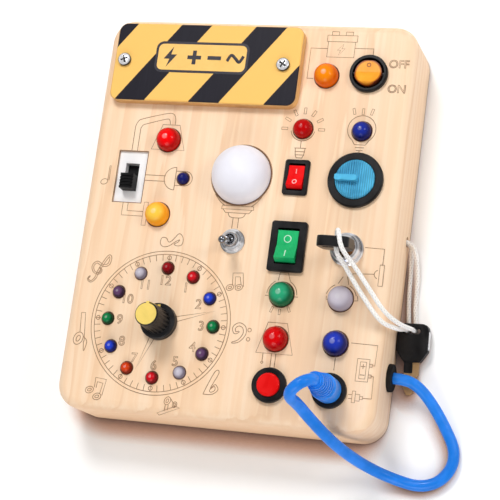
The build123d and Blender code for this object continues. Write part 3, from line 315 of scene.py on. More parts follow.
class Recipe(Desk):
    """A Geometry Nodes tree with named sizes, which ends in plain mesh."""

    def __init__(self, name: str, sizes: dict[str, float]) -> None:
        """Makes the tree and its inputs, one for each size."""
        super().__init__(bpy.data.node_groups.new(name, "GeometryNodeTree"))
        self.socket("Geometry", "Geometry")
        for label, value in sizes.items():
            self.socket(label, "Float").default_value = value
        self.socket("Finish", "Material")
        self.socket("Geometry", "Geometry", "OUTPUT")
        self.start = self.node("NodeGroupInput")

    def socket(self, label: str, kind: str,
               side: str = "INPUT") -> bpy.types.NodeTreeInterfaceSocket:
        """Adds an input or an output to the tree."""
        return self.tree.interface.new_socket(label, in_out=side, socket_type="NodeSocket" + kind)

    def size(self, label: str) -> Val:
        """One of the tree's inputs."""
        return self.get(self.start, label)

    def close(self, geometry: Val) -> None:
        """Ends the tree: instances made real, and the finish set."""
        real = self.value("GeometryNodeRealizeInstances", None, {0: geometry})
        done = self.value("GeometryNodeSetMaterial", None,
                          {"Geometry": real, "Material": self.size("Finish")})
        self.node("NodeGroupOutput", None, {0: done})

    def grow(self, name: str, source: bpy.types.Mesh, finish: bpy.types.Material,
             **sizes: float) -> bpy.types.Mesh:
        """Runs the tree once.

        Args:
            name: The mesh's name.
            source: The mesh that goes in.
            finish: The material that comes out.
            **sizes: Inputs, in metres where they are lengths.

        Returns:
            A plain mesh.
        """
        holder = added(name, source)
        modifier = holder.modifiers.new("recipe", "NODES")
        modifier.node_group = self.tree
        known = {item.name: item.identifier for item in self.tree.interface.items_tree
                 if item.in_out == "INPUT"}
        modifier[known["Finish"]] = finish
        for label, value in sizes.items():
            modifier[known[label]] = float(value)
        return settled(name, holder)


# -------------------------------------------------------------------- finishes


@dataclass(frozen=True)
class Finish:
    """A finish, made into a material at its first use."""

    name: str
    colour: Tint

    def material(self) -> bpy.types.Material:
        """The material of this finish."""
        if self not in MADE:
            MADE[self] = self.dress()
        return MADE[self]

    def dress(self) -> bpy.types.Material:
        """Builds the material."""
        raise NotImplementedError


MADE: dict[Finish, bpy.types.Material] = {}


@dataclass(frozen=True)
class Timber(Finish):
    """Pale planed wood, cut from the outside of a log, its grain along Y."""

    warm: Tint = (246, 210, 173)
    late: Tint = (232, 188, 146)
    end: Tint = (236, 196, 158)
    # Colour of the painted shade along the base, and the height where that painted shade fades out.
    toast: Tint = (128, 88, 68)
    ring_pitch: float = 5.2
    pith: Point = (34.0, -120.0)
    wander: float = 26.0
    ripple: float = 3.0
    toast_height: float = 7.0

    def grain(self, skin: Skin) -> tuple[Val, Val]:
        """Adds the grain.

        Args:
            skin: The material's tree.

        Returns:
            The colour, and the height of the fibres.
        """
        x, _, z = skin.axes()
        bend = skin.noise((16, 150, 16), 1.5) - 0.5
        drift = skin.noise((4.5, 70, 4.5), 2.0, shift=(7, 3, 1)) - 0.5
        across = x - self.pith[0] + bend * self.wander
        deep = z - self.pith[1] + drift * self.ripple
        ring = (across * across + deep * deep).does("SQRT") / self.ring_pitch + drift * 0.5
        phase = ring.does("FRACT")
        dark = phase.fade(0.35, 0.93) * (1 - phase.fade(0.93, 1.0))
        fibre = skin.noise((0.5, 26, 0.5), 3.0, 0.6)
        streak = skin.noise((2.6, 110, 2.6), 2.0, shift=(0, 5, 2))
        fleck = skin.noise((0.28, 5.5, 0.28), 1.0, shift=(3, 1, 4)).fade(0.66, 0.78)
        # Faces turned along Y take the end colour: partly the darker end grain, partly painted
        # shade for the board's bottom side.
        end_grain_and_shade = skin.normal()[1].does("ABSOLUTE").fade(0.6, 0.95)
        base: Val | Tint = self.colour
        for share, tint in (
            (streak.fade(0.3, 0.72), self.warm), (dark * 0.4, self.warm),
            (dark ** 3 * 0.42, self.late), (fleck * 0.22, self.late),
            (fibre.fade(0.35, 0.7) * 0.13, self.end), (end_grain_and_shade * (0.5 + fibre * 0.3), self.end),
        ):
            base = skin.mix(share, base, tint)
        return base, fibre * 0.7 + fleck * -0.5 + streak * 0.2

    def dress(self) -> bpy.types.Material:
        """Wood with a thin satin varnish."""
        skin = Skin(self.name, coat_weight=0.04, coat_roughness=0.35, specular_ior_level=0.3)
        base, height = self.grain(skin)
        _, _, z = skin.axes()
        # Painted shade: a dark line along the lowest 1.5 mm, where the board meets the floor, and a
        # faint painted shade fading out upwards.
        contact_shade = (1 - z.fade(0.9, 1.5)) * 0.8
        foot = (1 - z.fade(1.2, self.toast_height)) * 0.12
        base = skin.mix(contact_shade + foot, base, self.toast)
        return skin.done(base, height * 0.18 + 0.42, height, 0.05)


@dataclass(frozen=True)
class StripedPlate(Timber):
    """Wood printed yellow on top, with slanting dark stripes, its cut edges bare."""

    print_level: float = 34.05
    yellow: Tint = (248, 196, 106)
    worn_yellow: Tint = (240, 196, 104)
    stripe: Tint = (28, 26, 36)
    worn_stripe: Tint = (42, 40, 50)
    slope: float = 0.75
    bottom: float = 46.6
    first: float = -60.0
    pitch: float = 33.15
    share: float = 0.41
    edge: float = 0.003
    depth: float = 0.12

    def dress(self) -> bpy.types.Material:
        """The print over the wood."""
        skin = Skin(self.name, coat_weight=0.015, coat_roughness=0.4, specular_ior_level=0.12)
        wood, height = self.grain(skin)
        x, y, z = skin.axes()
        ragged = (skin.noise(0.9, 2.0) - 0.5) * 0.22
        slide = (x - self.first - self.slope * (y - self.bottom) + ragged) / self.pitch
        band = slide.does("FRACT")
        start, end = self.share - self.edge, self.share + self.edge
        dark = band.fade(0.0, 2 * self.edge) * (1 - band.fade(start, end))
        grime = skin.noise((1.2, 24, 1.2), 3.0, 0.6)
        fill = skin.mix(grime.fade(0.3, 0.75) * 0.3, self.yellow, self.worn_yellow)
        navy = skin.mix(grime.fade(0.45, 0.8) * 0.3, self.stripe, self.worn_stripe)
        top = z.fade(self.print_level - self.depth, self.print_level + self.depth)
        base = skin.mix(top, wood, skin.mix(dark, fill, navy))
        return skin.done(base, height * 0.12 + 0.4, height, 0.035)


@dataclass(frozen=True)
class Moulded(Finish):
    """Moulded plastic or rubber: even colour with faint flow marks and a fine die grain.

    With ribs, it has fine upright lines of that pitch, of the share's strength, up to the plain
    height, and is deeper in colour there; the lines are painted shade, dark stripes along the ribs.
    With a rim, a centre and a radius, it darkens to brown and then black outside them, a painted
    shade where the cap sinks under its bezel. With a well, a centre and two half sides, it is black
    inside, a painted shade in the slot that stands also for the black slider below.
    """

    rough: float = 0.36
    grain: float = 0.28
    depth: float = 0.012
    mottle: float = 0.12
    coat: float = 0.0
    glow: float = 0.0
    ribs: float = 0.0
    deeper: float = 0.0
    share: float = 0.6
    plain: float = 99.0
    shine: float = 0.18
    rim: Place | None = None
    well: Quad | None = None
    dust: Tint = (190, 186, 180)
    # Colours of the painted shade towards the rim: brown, then black.
    burnt: Tint = (150, 62, 6)
    edge: Tint = (26, 22, 24)
    hollow: Tint = (16, 15, 17)

    def dress(self) -> bpy.types.Material:
        """Plastic, with what its fields ask for."""
        skin = Skin(
            self.name, coat_weight=self.coat * 0.5, coat_roughness=0.08,
            subsurface_weight=self.glow, subsurface_scale=0.002, ior=1.49,
            specular_ior_level=self.shine,
        )
        flow = skin.noise((7, 9, 5), 2.0, 0.55, 0.6)
        die = skin.noise(self.grain, 2.0, 0.6)
        dust = skin.noise(0.35, 1.0, 0.5, shift=(9, 2, 5)).fade(0.74, 0.8)
        solid = paint(*self.colour)
        darker = shifted(solid, 1 - self.mottle * 1.6)
        lighter = shifted(solid, 1 + self.mottle, 0.012)
        base = skin.mix(flow.fade(0.25, 0.75), darker, lighter)
        base = skin.mix(dust * 0.1, base, self.dust)
        height = die
        x, y, z = skin.axes()
        # The rib lines are painted shade: dark stripes in the colour, besides the bumps.
        if self.ribs:
            under = 1 - z.fade(self.plain, self.plain + 0.2)
            line = ((x * (2 * math.pi / self.ribs)).does("SINE") * 0.5 + 0.5) * under
            base = skin.mix(line * self.share + under * self.deeper, base, shifted(solid, 0.4))
            height = die * 0.3 + line * 4.0
        # Painted shade: towards its rim the cap darkens to brown and then to black, where it sinks
        # under the bezel.
        if self.rim:
            radius = self.rim[2]
            out = skin.far(x, y, self.rim[:2])
            base = skin.mix(out.fade(radius - 1.0, radius), base, self.burnt)
            base = skin.mix(out.fade(radius - 0.3, radius + 0.3), base, self.edge)
        # Painted shade: inside the slot it is painted black, standing also for the black slider
        # body below.
        if self.well:
            aside = (x - self.well[0]).does("ABSOLUTE") / self.well[2]
            along = (y - self.well[1]).does("ABSOLUTE") / self.well[3]
            base = skin.mix(aside.most(along).fade(0.98, 1.0), self.hollow, base)
        rough = flow * 0.14 + die * 0.08 + (self.rough - 0.11)
        return skin.done(base, rough, height, self.depth, 0.6)


@dataclass(frozen=True)
class Lens(Finish):
    """Tinted lamp resin: deep towards its steep rim, lighter where it faces out.

    Near each dim spot, a centre and a share, it is darker. The deep rim and the lighter faces
    are painted shade and light, and a pale spot where it faces straight up is a painted
    highlight that stands also for the chip inside.
    """

    deep: Tint = (90, 10, 16)
    clear: float = 0.03
    # Strength of the painted highlight at the top of each lens.
    die: float = 0.42
    dim: tuple[Place, ...] = ()
    dim_reach: float = 6.0
    speck: Tint = (240, 236, 232)

    def dress(self) -> bpy.types.Material:
        """Glossy resin."""
        skin = Skin(self.name, coat_weight=0.14, coat_roughness=0.06,
                    transmission_weight=self.clear, ior=1.5, specular_ior_level=0.08)
        x, y, _ = skin.axes()
        facing = skin.normal()[2]
        cloud = skin.noise((3.2, 3.2, 2.4), 2.0, 0.5)
        # Painted shade and light: the steep rim is painted deep, the faces turned up lighter.
        high = facing.fade(0.45, 0.95) * 0.9 + cloud * 0.16
        base = skin.mix(high, self.deep, self.colour)
        # Painted highlight: a pale spot where the lens faces straight up.
        light = shifted(paint(*self.colour), 0.55, 0.45)
        base = skin.mix(facing.fade(0.962, 0.992) * self.die, base, light)
        for across, up, share in self.dim:
            near = 1 - skin.far(x, y, (across, up)).fade(self.dim_reach, self.dim_reach + 1)
            base = skin.mix(near * share, base, self.deep)
        speck = skin.noise(0.22, 1.0).fade(0.8, 0.84)
        base = skin.mix(speck * 0.08, base, self.speck)
        return skin.done(base, cloud * 0.08 + 0.16, skin.noise(2.0, 1.0), 0.015, 0.3)


@dataclass(frozen=True)
class Metal(Finish):
    """Bright metal with fine scratches and a film of handling.

    With a thread, fine grooves go round it at that pitch in height. With a lathe centre, its
    flats show painted reflections: dark turned rings and two dark wedges. Below the sunk height it
    is dull and dark, as painted shade.
    """

    rough: float = 0.2
    scratch: Place = (0.12, 4.0, 0.12)
    tarnish: Tint = (110, 104, 98)
    stain: float = 0.25
    thread: float = 0.0
    polish: float = 0.8
    lathe: Point | None = None
    sunk: float = 0.0
    # Colour of the dark painted reflections on a turned face.
    wedges: Tint = (58, 56, 60)
    # Colour of the painted shade below the sunk height.
    recess: Tint = (44, 41, 42)

    def dress(self) -> bpy.types.Material:
        """Metal, with what its fields ask for."""
        skin = Skin(self.name, anisotropic=0.25, specular_ior_level=0.5)
        film = skin.noise((3.4, 3.4, 3.4), 2.0, 0.5)
        lines = skin.noise(self.scratch, 2.0, 0.6, turn=0.6)
        cross = skin.noise((self.scratch[1], self.scratch[0], self.scratch[2]), 2.0, 0.6)
        dull = film.fade(0.45, 0.85) * self.stain
        base = skin.mix(dull, self.colour, self.tarnish)
        height = lines * 0.6 + cross * 0.4
        depth = 0.003
        bright: Val | float = 1.0
        x, y, z = skin.axes()
        # Painted reflection: dark rings and two dark wedges stand in for the reflections of turned
        # metal.
        if self.lathe:
            turn = skin.math("ARCTAN2", y - self.lathe[1], x - self.lathe[0])
            wedge = (turn * 2 + 0.6).does("SINE") * 0.5 + 0.5
            rings = (skin.far(x, y, self.lathe) * 5.2).does("SINE") * 0.5 + 0.5
            shade = wedge.fade(0.55, 0.8) * 0.6 + rings.fade(0.7, 0.95) * 0.3
            base = skin.mix(shade, base, self.wedges)
        # Painted shade: below the sunk height the recess is painted dark and dull.
        if self.sunk:
            bright = z.fade(self.sunk - 0.06, self.sunk + 0.06)
            base = skin.mix(bright, self.recess, base)
        if self.thread:
            groove = (z * (2 * math.pi / self.thread)).does("SINE")
            height = height * 0.1 + groove * 3.0
            depth = 0.05
        skin.wear(Metallic=(film.fade(0.6, 0.95) * -0.12 + self.polish) * bright)
        return skin.done(base, film * 0.12 + lines * 0.06 + (self.rough - 0.07), height, depth)


@dataclass(frozen=True)
class Ink(Finish):
    """A printed or burnt mark, uneven as it soaks in."""

    second: Tint = (120, 84, 58)
    rough: float = 0.6
    lumps: float = 0.7

    def dress(self) -> bpy.types.Material:
        """The mark."""
        skin = Skin(self.name, specular_ior_level=0.3)
        patch = skin.noise(self.lumps, 3.0, 0.65)
        broad = skin.noise(9.0, 1.0, shift=(2, 7, 1))
        soaked = (patch * 0.7 + broad * 0.5).fade(0.35, 0.85)
        base = skin.mix(soaked, self.colour, self.second)
        return skin.done(base, patch * 0.2 + (self.rough - 0.1), patch, 0.02)


@dataclass(frozen=True)
class Braid(Finish):
    """Braided cotton, its weave read from the height that the mesh carries."""

    hollow: Tint = (222, 218, 216)
    handled: Tint = (214, 204, 192)

    def dress(self) -> bpy.types.Material:
        """Soft matt thread."""
        skin = Skin(self.name, sheen_weight=0.25, sheen_roughness=0.5, specular_ior_level=0.2)
        weave = skin.value("ShaderNodeAttribute", {"attribute_name": "weave"}, name="Fac")
        fluff = skin.noise(0.12, 2.0, 0.7)
        # Painted shade: the hollows of the weave are darker than the raised strands.
        base = skin.mix(weave.fade(-0.5, 0.6), self.hollow, self.colour)
        film = skin.noise(6.0, 2.0).fade(0.5, 0.8) * 0.16
        base = skin.mix(film, base, self.handled)
        return skin.done(base, fluff * 0.15 + 0.75, fluff, 0.04, 0.7)


BOARD_WOOD = Timber("pale_planed_wood", (250, 221, 190))
PANEL_WOOD = Timber("panel_wood", (240, 208, 168), warm=(230, 194, 150), late=(206, 160, 116),
                    end=(206, 162, 120), ring_pitch=4.0, pith=(-20.0, -60.0))
PLATE_WOOD = StripedPlate("printed_plate", (238, 196, 130), warm=(222, 174, 110),
                          late=(186, 136, 82), end=(186, 136, 88))
BLACK = Moulded("black_bezel_plastic", (19, 18, 20), grain=0.3, depth=0.008, mottle=0.2, shine=0.13)
SCORCH = Ink("scorched_edge", (84, 54, 36), (132, 90, 60))
ENGRAVED = Ink("engraved_line", (134, 102, 76), (176, 138, 106), rough=0.7, lumps=1.6)
NAVY_INK = Ink("navy_print", (38, 36, 46), (50, 47, 56), rough=0.45)
YELLOW_INK = Ink("yellow_print", (248, 198, 110), (242, 190, 100), rough=0.45, lumps=3.0)
PINK_INK = Ink("pale_pink_mark", (250, 190, 188), (244, 160, 160), rough=0.45)
MINT_INK = Ink("pale_green_mark", (206, 240, 220), (170, 224, 196), rough=0.45)
AMBER_INK = Ink("brown_mark", (150, 74, 14), (176, 96, 24), rough=0.45)
BRIGHT_STEEL = Metal("bright_nut", (230, 231, 235), rough=0.14, stain=0.1, polish=0.78)
LOCK_CHROME = Metal("turned_chrome", (250, 249, 252), rough=0.12, stain=0.0, polish=0.5,
                    lathe=(48.8, -11.4))
DARK_CHROME = Metal("dark_chrome", (128, 130, 136), rough=0.12, polish=1.0)
THREADED = Metal("threaded_bush", (190, 191, 196), rough=0.22, thread=0.5)
SCREW_STEEL = Metal("screw_steel", (222, 222, 226), stain=0.1, polish=0.8)
COVER_SCREW = Metal("cover_screw_steel", (244, 244, 247), stain=0.05, polish=0.5, sunk=35.6)
TOGGLE_STEEL = Metal("turned_toggle_steel", (252, 252, 254), rough=0.16, stain=0.0, polish=0.4,
                     lathe=(0.29, -11.0))
CUT_BRASS = Metal("cut_brass", (196, 158, 112), rough=0.34, stain=0.1)
RIM_STEEL = Metal("key_rim", (240, 240, 243), stain=0.05, polish=0.4)

NODE_FINISH: dict[str, Finish] = {
    "wood_body": BOARD_WOOD,
    "back_panel": PANEL_WOOD,
    "cover_plate": PLATE_WOOD,
    **dict.fromkeys(("back_screws", "cover_screws"), SCREW_STEEL),
    **dict.fromkeys(("battery_tray", "power_switch_housing", "red_switch_housing",
                     "green_switch_housing", "rotary_housing", "button_housing",
                     "socket_housing"), BLACK),
    "battery_cells": Moulded("cell_wrap", (52, 116, 66), rough=0.25, grain=0.6, depth=0.01,
                             mottle=0.2, coat=0.4),
    "battery_contacts": Metal("contact_metal", (196, 194, 186), rough=0.28),
    "led_orange": Lens("orange_lens", (250, 142, 10), (224, 92, 2)),
    "leds_red": Lens("red_lens", (250, 0, 6), (170, 0, 2),
                     dim=((23.86, 38.44, 0.8), (24.11, -50.0, 0.45))),
    "leds_blue": Lens("blue_lens", (40, 62, 190), (14, 16, 84),
                      dim=((48.8, 38.55, 0.45), (-25.11, 14.5, 0.9))),
    "led_amber": Lens("amber_lens", (255, 206, 74), (250, 158, 20)),
    "led_green": Lens("green_lens", (46, 168, 120), (10, 92, 56)),
    "led_clear": Lens("clear_lens", (234, 226, 238), (186, 178, 196), clear=0.15),
    "clock_leds_red": Lens("clock_red_lens", (214, 12, 28), (84, 0, 8), dim=((-25.9, -24.1, 0.6),)),
    "clock_led_orange": Lens("clock_orange_lens", (222, 66, 16), (104, 18, 2)),
    "clock_leds_blue": Lens("clock_blue_lens", (30, 62, 206), (8, 14, 76)),
    "clock_leds_green": Lens("clock_green_lens", (10, 128, 70), (0, 44, 24)),
    "clock_leds_purple": Lens("clock_purple_lens", (98, 64, 104), (38, 22, 44)),
    "clock_leds_clear": Lens("clock_clear_lens", (206, 200, 214), (126, 118, 138), clear=0.15),
    "lamp_dome": Moulded("frosted_dome", (238, 237, 246), rough=0.42, grain=0.5, depth=0.01,
                         mottle=0.015),
    "lamp_board": Moulded("lamp_board", (46, 106, 64), rough=0.5),
    "lamp_led": Lens("white_lamp", (240, 240, 236), (206, 206, 196)),
    "power_rocker": Moulded("amber_rocker", (254, 164, 36), rough=0.24, grain=0.3, depth=0.01,
                            mottle=0.1, coat=0.3, glow=0.05, rim=(48.8, 63.2, 5.6)),
    "red_rocker": Moulded("red_rocker", (238, 0, 4), rough=0.3, grain=0.3, depth=0.006, mottle=0.05,
                          coat=0.1, shine=0.07),
    "green_rocker": Moulded("green_rocker", (26, 190, 112), rough=0.26, grain=0.3, depth=0.008,
                            mottle=0.1, coat=0.2, ribs=0.62, share=0.3),
    "rotary_knob": Moulded("blue_knob", (84, 194, 246), rough=0.26, grain=0.3, depth=0.01,
                           mottle=0.2, coat=0.3, ribs=0.9, plain=33.2, deeper=0.16),
    "slide_housing": Moulded("white_plastic", (246, 244, 244), rough=0.4, grain=0.3, depth=0.006,
                             mottle=0.02, well=(-48.8, 14.2, 3.06, 6.06)),
    "slide_handle": Moulded("slide_handle", (10, 9, 11), rough=0.42, grain=0.25, depth=0.005,
                            mottle=0.15, shine=0.08),
    "toggle_housing": THREADED,
    **dict.fromkeys(("toggle_washer", "toggle_nut"), TOGGLE_STEEL),
    **dict.fromkeys(("toggle_lever", "selector_switch", "selector_shaft"), DARK_CHROME),
    "lock_barrel": LOCK_CHROME,
    "lock_rotor": Metal("turned_rotor", (176, 140, 112), rough=0.24, lathe=(48.8, -11.4)),
    **dict.fromkeys(("key_blade", "spare_key_blade"), CUT_BRASS),
    "key_head": Moulded("key_plastic", (16, 15, 17), rough=0.3, grain=0.25, depth=0.006, mottle=0.2,
                        coat=0.15, shine=0.1),
    "spare_key_head": Moulded("spare_key_plastic", (15, 14, 16), rough=0.34, grain=0.25, depth=0.01,
                              mottle=0.2, coat=0.12, shine=0.1),
    **dict.fromkeys(("key_trim", "spare_key_trim"), RIM_STEEL),
    "button_cap": Moulded("red_cap", (226, 0, 0), rough=0.34, grain=0.4, depth=0.006, mottle=0.06,
                          coat=0.08, shine=0.07),
    "button_spring": Metal("spring_wire", (170, 170, 172), rough=0.3),
    **dict.fromkeys(("selector_nut", "panel_nuts"), BRIGHT_STEEL),
    "selector_knob": Moulded("knob_plastic", (26, 25, 27), rough=0.4, grain=0.22, depth=0.01,
                             mottle=0.2),
    "selector_cap": Moulded("yellow_cap", (238, 208, 108), rough=0.4, grain=0.3, depth=0.008,
                            mottle=0.04),
    "plug_barrel": Metal("plated_barrel", (200, 198, 190)),
    "plug_boot": Moulded("blue_boot", (34, 132, 232), rough=0.32, grain=0.35, depth=0.006,
                         mottle=0.06, coat=0.2),
    "cable_grommet": Moulded("black_rubber", (20, 19, 19), rough=0.6, grain=0.4, depth=0.03,
                             mottle=0.2, shine=0.1),
    "cable": Moulded("cable_under", (40, 130, 240)),
    "key_string": Moulded("string_under", (240, 238, 234)),
}
CABLE_SKIN = Moulded("blue_cable", (22, 126, 232), rough=0.34, grain=0.5, depth=0.01, mottle=0.06,
                     coat=0.2)
STRING_SKIN = Braid("white_braid", (250, 248, 245))


# ------------------------------------------------------------------ mesh shapes


def bearings(parts: int) -> list[float]:
    """The angles of that many even steps round a circle, in radians."""
    return [2 * math.pi * i / parts for i in range(parts)]


def bands(points: list[Place], parts: int) -> Shape:
    """Faces between rings of points.

    Args:
        points: The rings' points, one ring after the other.
        parts: How many points a ring has.

    Returns:
        The points, with a band of faces from each ring to the next.
    """
    return points, [
        (row + i, row + (i + 1) % parts, row + parts + (i + 1) % parts, row + parts + i)
        for row in range(0, len(points) - parts, parts)
        for i in range(parts)
    ]


def rectangle(left: float, low: float, right: float, high: float) -> list[Point]:
    """The corners of a rectangle."""
    return [(left, low), (right, low), (right, high), (left, high)]


def slab(outline: list[Point], low: float, high: float) -> Shape:
    """A flat piece of that outline, between two heights."""
    count = len(outline)
    points, sides = bands([(x, y, z) for z in (low, high) for x, y in outline], count)
    return points, [*sides, tuple(range(count))[::-1], tuple(range(count, 2 * count))]


def rounded(left: float, low: float, right: float, high: float, radius: float,
            steps: int = 6) -> list[Point]:
    """The outline of a rectangle with rounded corners."""
    corners = [(right - radius, high - radius, 0), (left + radius, high - radius, 90),
               (left + radius, low + radius, 180), (right - radius, low + radius, 270)]
    return [swung((x, y), radius, 0.0, a + 90 * i / steps)
            for x, y, a in corners for i in range(steps + 1)]


def joined(*shapes: Shape) -> Shape:
    """Several shapes as one."""
    points: list[Place] = []
    faces: list[tuple[int, ...]] = []
    for some, sides in shapes:
        start = len(points)
        points.extend(some)
        faces.extend(tuple(i + start for i in side) for side in sides)
    return points, faces


def shaded(mesh: bpy.types.Mesh, finish: Finish) -> bpy.types.Mesh:
    """The same mesh, shaded smooth and in one finish."""
    mesh.polygons.foreach_set("use_smooth", [True] * len(mesh.polygons))
    mesh.materials.clear()
    mesh.materials.append(finish.material())
    return mesh


@dataclass
class Assembly:
    """What the sub-assemblies share: making a piece and putting it on a body."""

    def place(self, name: str, mesh: bpy.types.Mesh, body: Body = Body.BOARD,
              stands_for: tuple[str, ...] = ()) -> bpy.types.Object:
        """Puts a finished mesh on a body.

        Args:
            name: The piece's name.
            mesh: The mesh, with its material.
            body: The body that it rides on.
            stands_for: CAD nodes that it replaces.

        Returns:
            The piece.
        """
        made = added(name, mesh)
        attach(made, body.value)
        if stands_for:
            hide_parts(*stands_for)
        log.info("%s: %s with %d faces", type(self).__name__, name, len(mesh.polygons))
        return made

    def piece(self, name: str, shape: Shape, finish: Finish, body: Body = Body.BOARD,
              stands_for: tuple[str, ...] = (), crease: float = 35.0) -> bpy.types.Object:
        """Makes a piece from corners in millimetres.

        Args:
            name: The piece's name.
            shape: Its corners and faces.
            finish: Its finish.
            body: The body that it rides on.
            stands_for: CAD nodes that it replaces.
            crease: Edges that turn by more degrees stay sharp.

        Returns:
            The piece.
        """
        mesh = bpy.data.meshes.new(name)
        mesh.from_pydata([tuple(c * MM for c in p) for p in shape[0]], [], shape[1])
        work = bmesh.new()
        work.from_mesh(mesh)
        bmesh.ops.remove_doubles(work, verts=work.verts, dist=1e-7)
        bmesh.ops.recalc_face_normals(work, faces=work.faces)
        work.to_mesh(mesh)
        work.free()
        shaded(mesh, finish).set_sharp_from_angle(angle=math.radians(crease))
        return self.place(name, mesh, body, stands_for)


# -------------------------------------------------------------------- drawings


def engraving_recipe() -> Recipe:
    """The tree that turns strokes into flat lines of one width."""
    recipe = Recipe("engraved_line", {"Width": 0.00035, "Flatness": 0.2, "Level": 0.03})
    strokes = recipe.value("GeometryNodeMeshToCurve", None, {0: recipe.size("Geometry")})
    pen = recipe.value("GeometryNodeCurvePrimitiveCircle", None,
                       {"Resolution": 6, "Radius": recipe.size("Width") / 2})
    swept = recipe.value("GeometryNodeCurveToMesh", None,
                         {"Curve": strokes, "Profile Curve": pen, "Fill Caps": True})
    recipe.close(recipe.value("GeometryNodeTransform", None, {
        "Geometry": swept,
        "Translation": recipe.trio(0.0, 0.0, recipe.size("Level")),
        "Scale": recipe.trio(1.0, 1.0, recipe.size("Flatness")),
    }))
    return recipe


def tick_recipe() -> Recipe:
    """The tree that sets bars round a circle, each along its radius."""
    recipe = Recipe("ring_of_bars", {"Count": 60, "Radius": 0.03, "Length": 0.003, "Width": 0.0003,
                                     "Depth": 0.00004, "Across": 0.0, "Along": 0.0, "Level": 0.03})
    size = recipe.size
    ring = recipe.value("GeometryNodeMeshCircle", None,
                        {"Vertices": size("Count"), "Radius": size("Radius")})
    bar = recipe.value("GeometryNodeMeshCube", None,
                       {"Size": recipe.trio(size("Length"), size("Width"), size("Depth"))})
    x, y, _ = recipe.split(recipe.value("GeometryNodeInputPosition"))
    bars = recipe.value("GeometryNodeInstanceOnPoints", None, {
        "Points": ring, "Instance": bar,
        "Rotation": recipe.trio(0.0, 0.0, recipe.math("ARCTAN2", y, x)),
    })
    recipe.close(recipe.value("GeometryNodeTransform", None, {
        "Geometry": bars,
        "Translation": recipe.trio(size("Across"), size("Along"), size("Level")),
    }))
    return recipe


def braid_recipe() -> Recipe:
    """The tree that braids a tube along a line of points."""
    recipe = Recipe("braided_cord", {"Radius": 0.00095, "Step": 0.0003, "Pitch": 0.0022,
                                     "Strands": 5.0, "Relief": 0.00003})
    size = recipe.size
    line = recipe.value("GeometryNodeMeshToCurve", None, {0: size("Geometry")})
    even = recipe.value("GeometryNodeResampleCurve", {"mode": "LENGTH"},
                        {"Curve": line, "Length": size("Step")})
    pen = recipe.value("GeometryNodeCurvePrimitiveCircle", None,
                       {"Resolution": 16, "Radius": size("Radius")})
    kept = []
    for source, output in ((even, "Length"), (pen, "Factor")):
        reading = recipe.value("GeometryNodeSplineParameter", name=output)
        keep = recipe.node("GeometryNodeCaptureAttribute", {"domain": "POINT"})
        keep.capture_items.new("FLOAT", "kept")
        for i, fed in enumerate((source, reading)):
            recipe.tree.links.new(fed.socket, keep.inputs[i])
        kept.append([recipe.get(keep, i) for i in range(2)])
    (path, along), (profile, around) = kept
    tube = recipe.value("GeometryNodeCurveToMesh", None,
                        {"Curve": path, "Profile Curve": profile, "Fill Caps": True})
    along = along / size("Pitch") * (2 * math.pi)
    around = around * (2 * math.pi) * size("Strands")
    left = (around + along).does("SINE")
    right = (around - along).does("SINE")
    over = (along * 2).does("SINE") * 0.25
    height = (left + over).most(right - over)
    push = recipe.scaled(recipe.value("GeometryNodeInputNormal"), height * size("Relief"))
    shaped = recipe.value("GeometryNodeSetPosition", None, {"Geometry": tube, "Offset": push})
    recipe.close(recipe.value(
        "GeometryNodeStoreNamedAttribute", {"data_type": "FLOAT", "domain": "POINT"},
        {"Geometry": shaped, "Name": "weave", "Value": height},
    ))
    return recipe


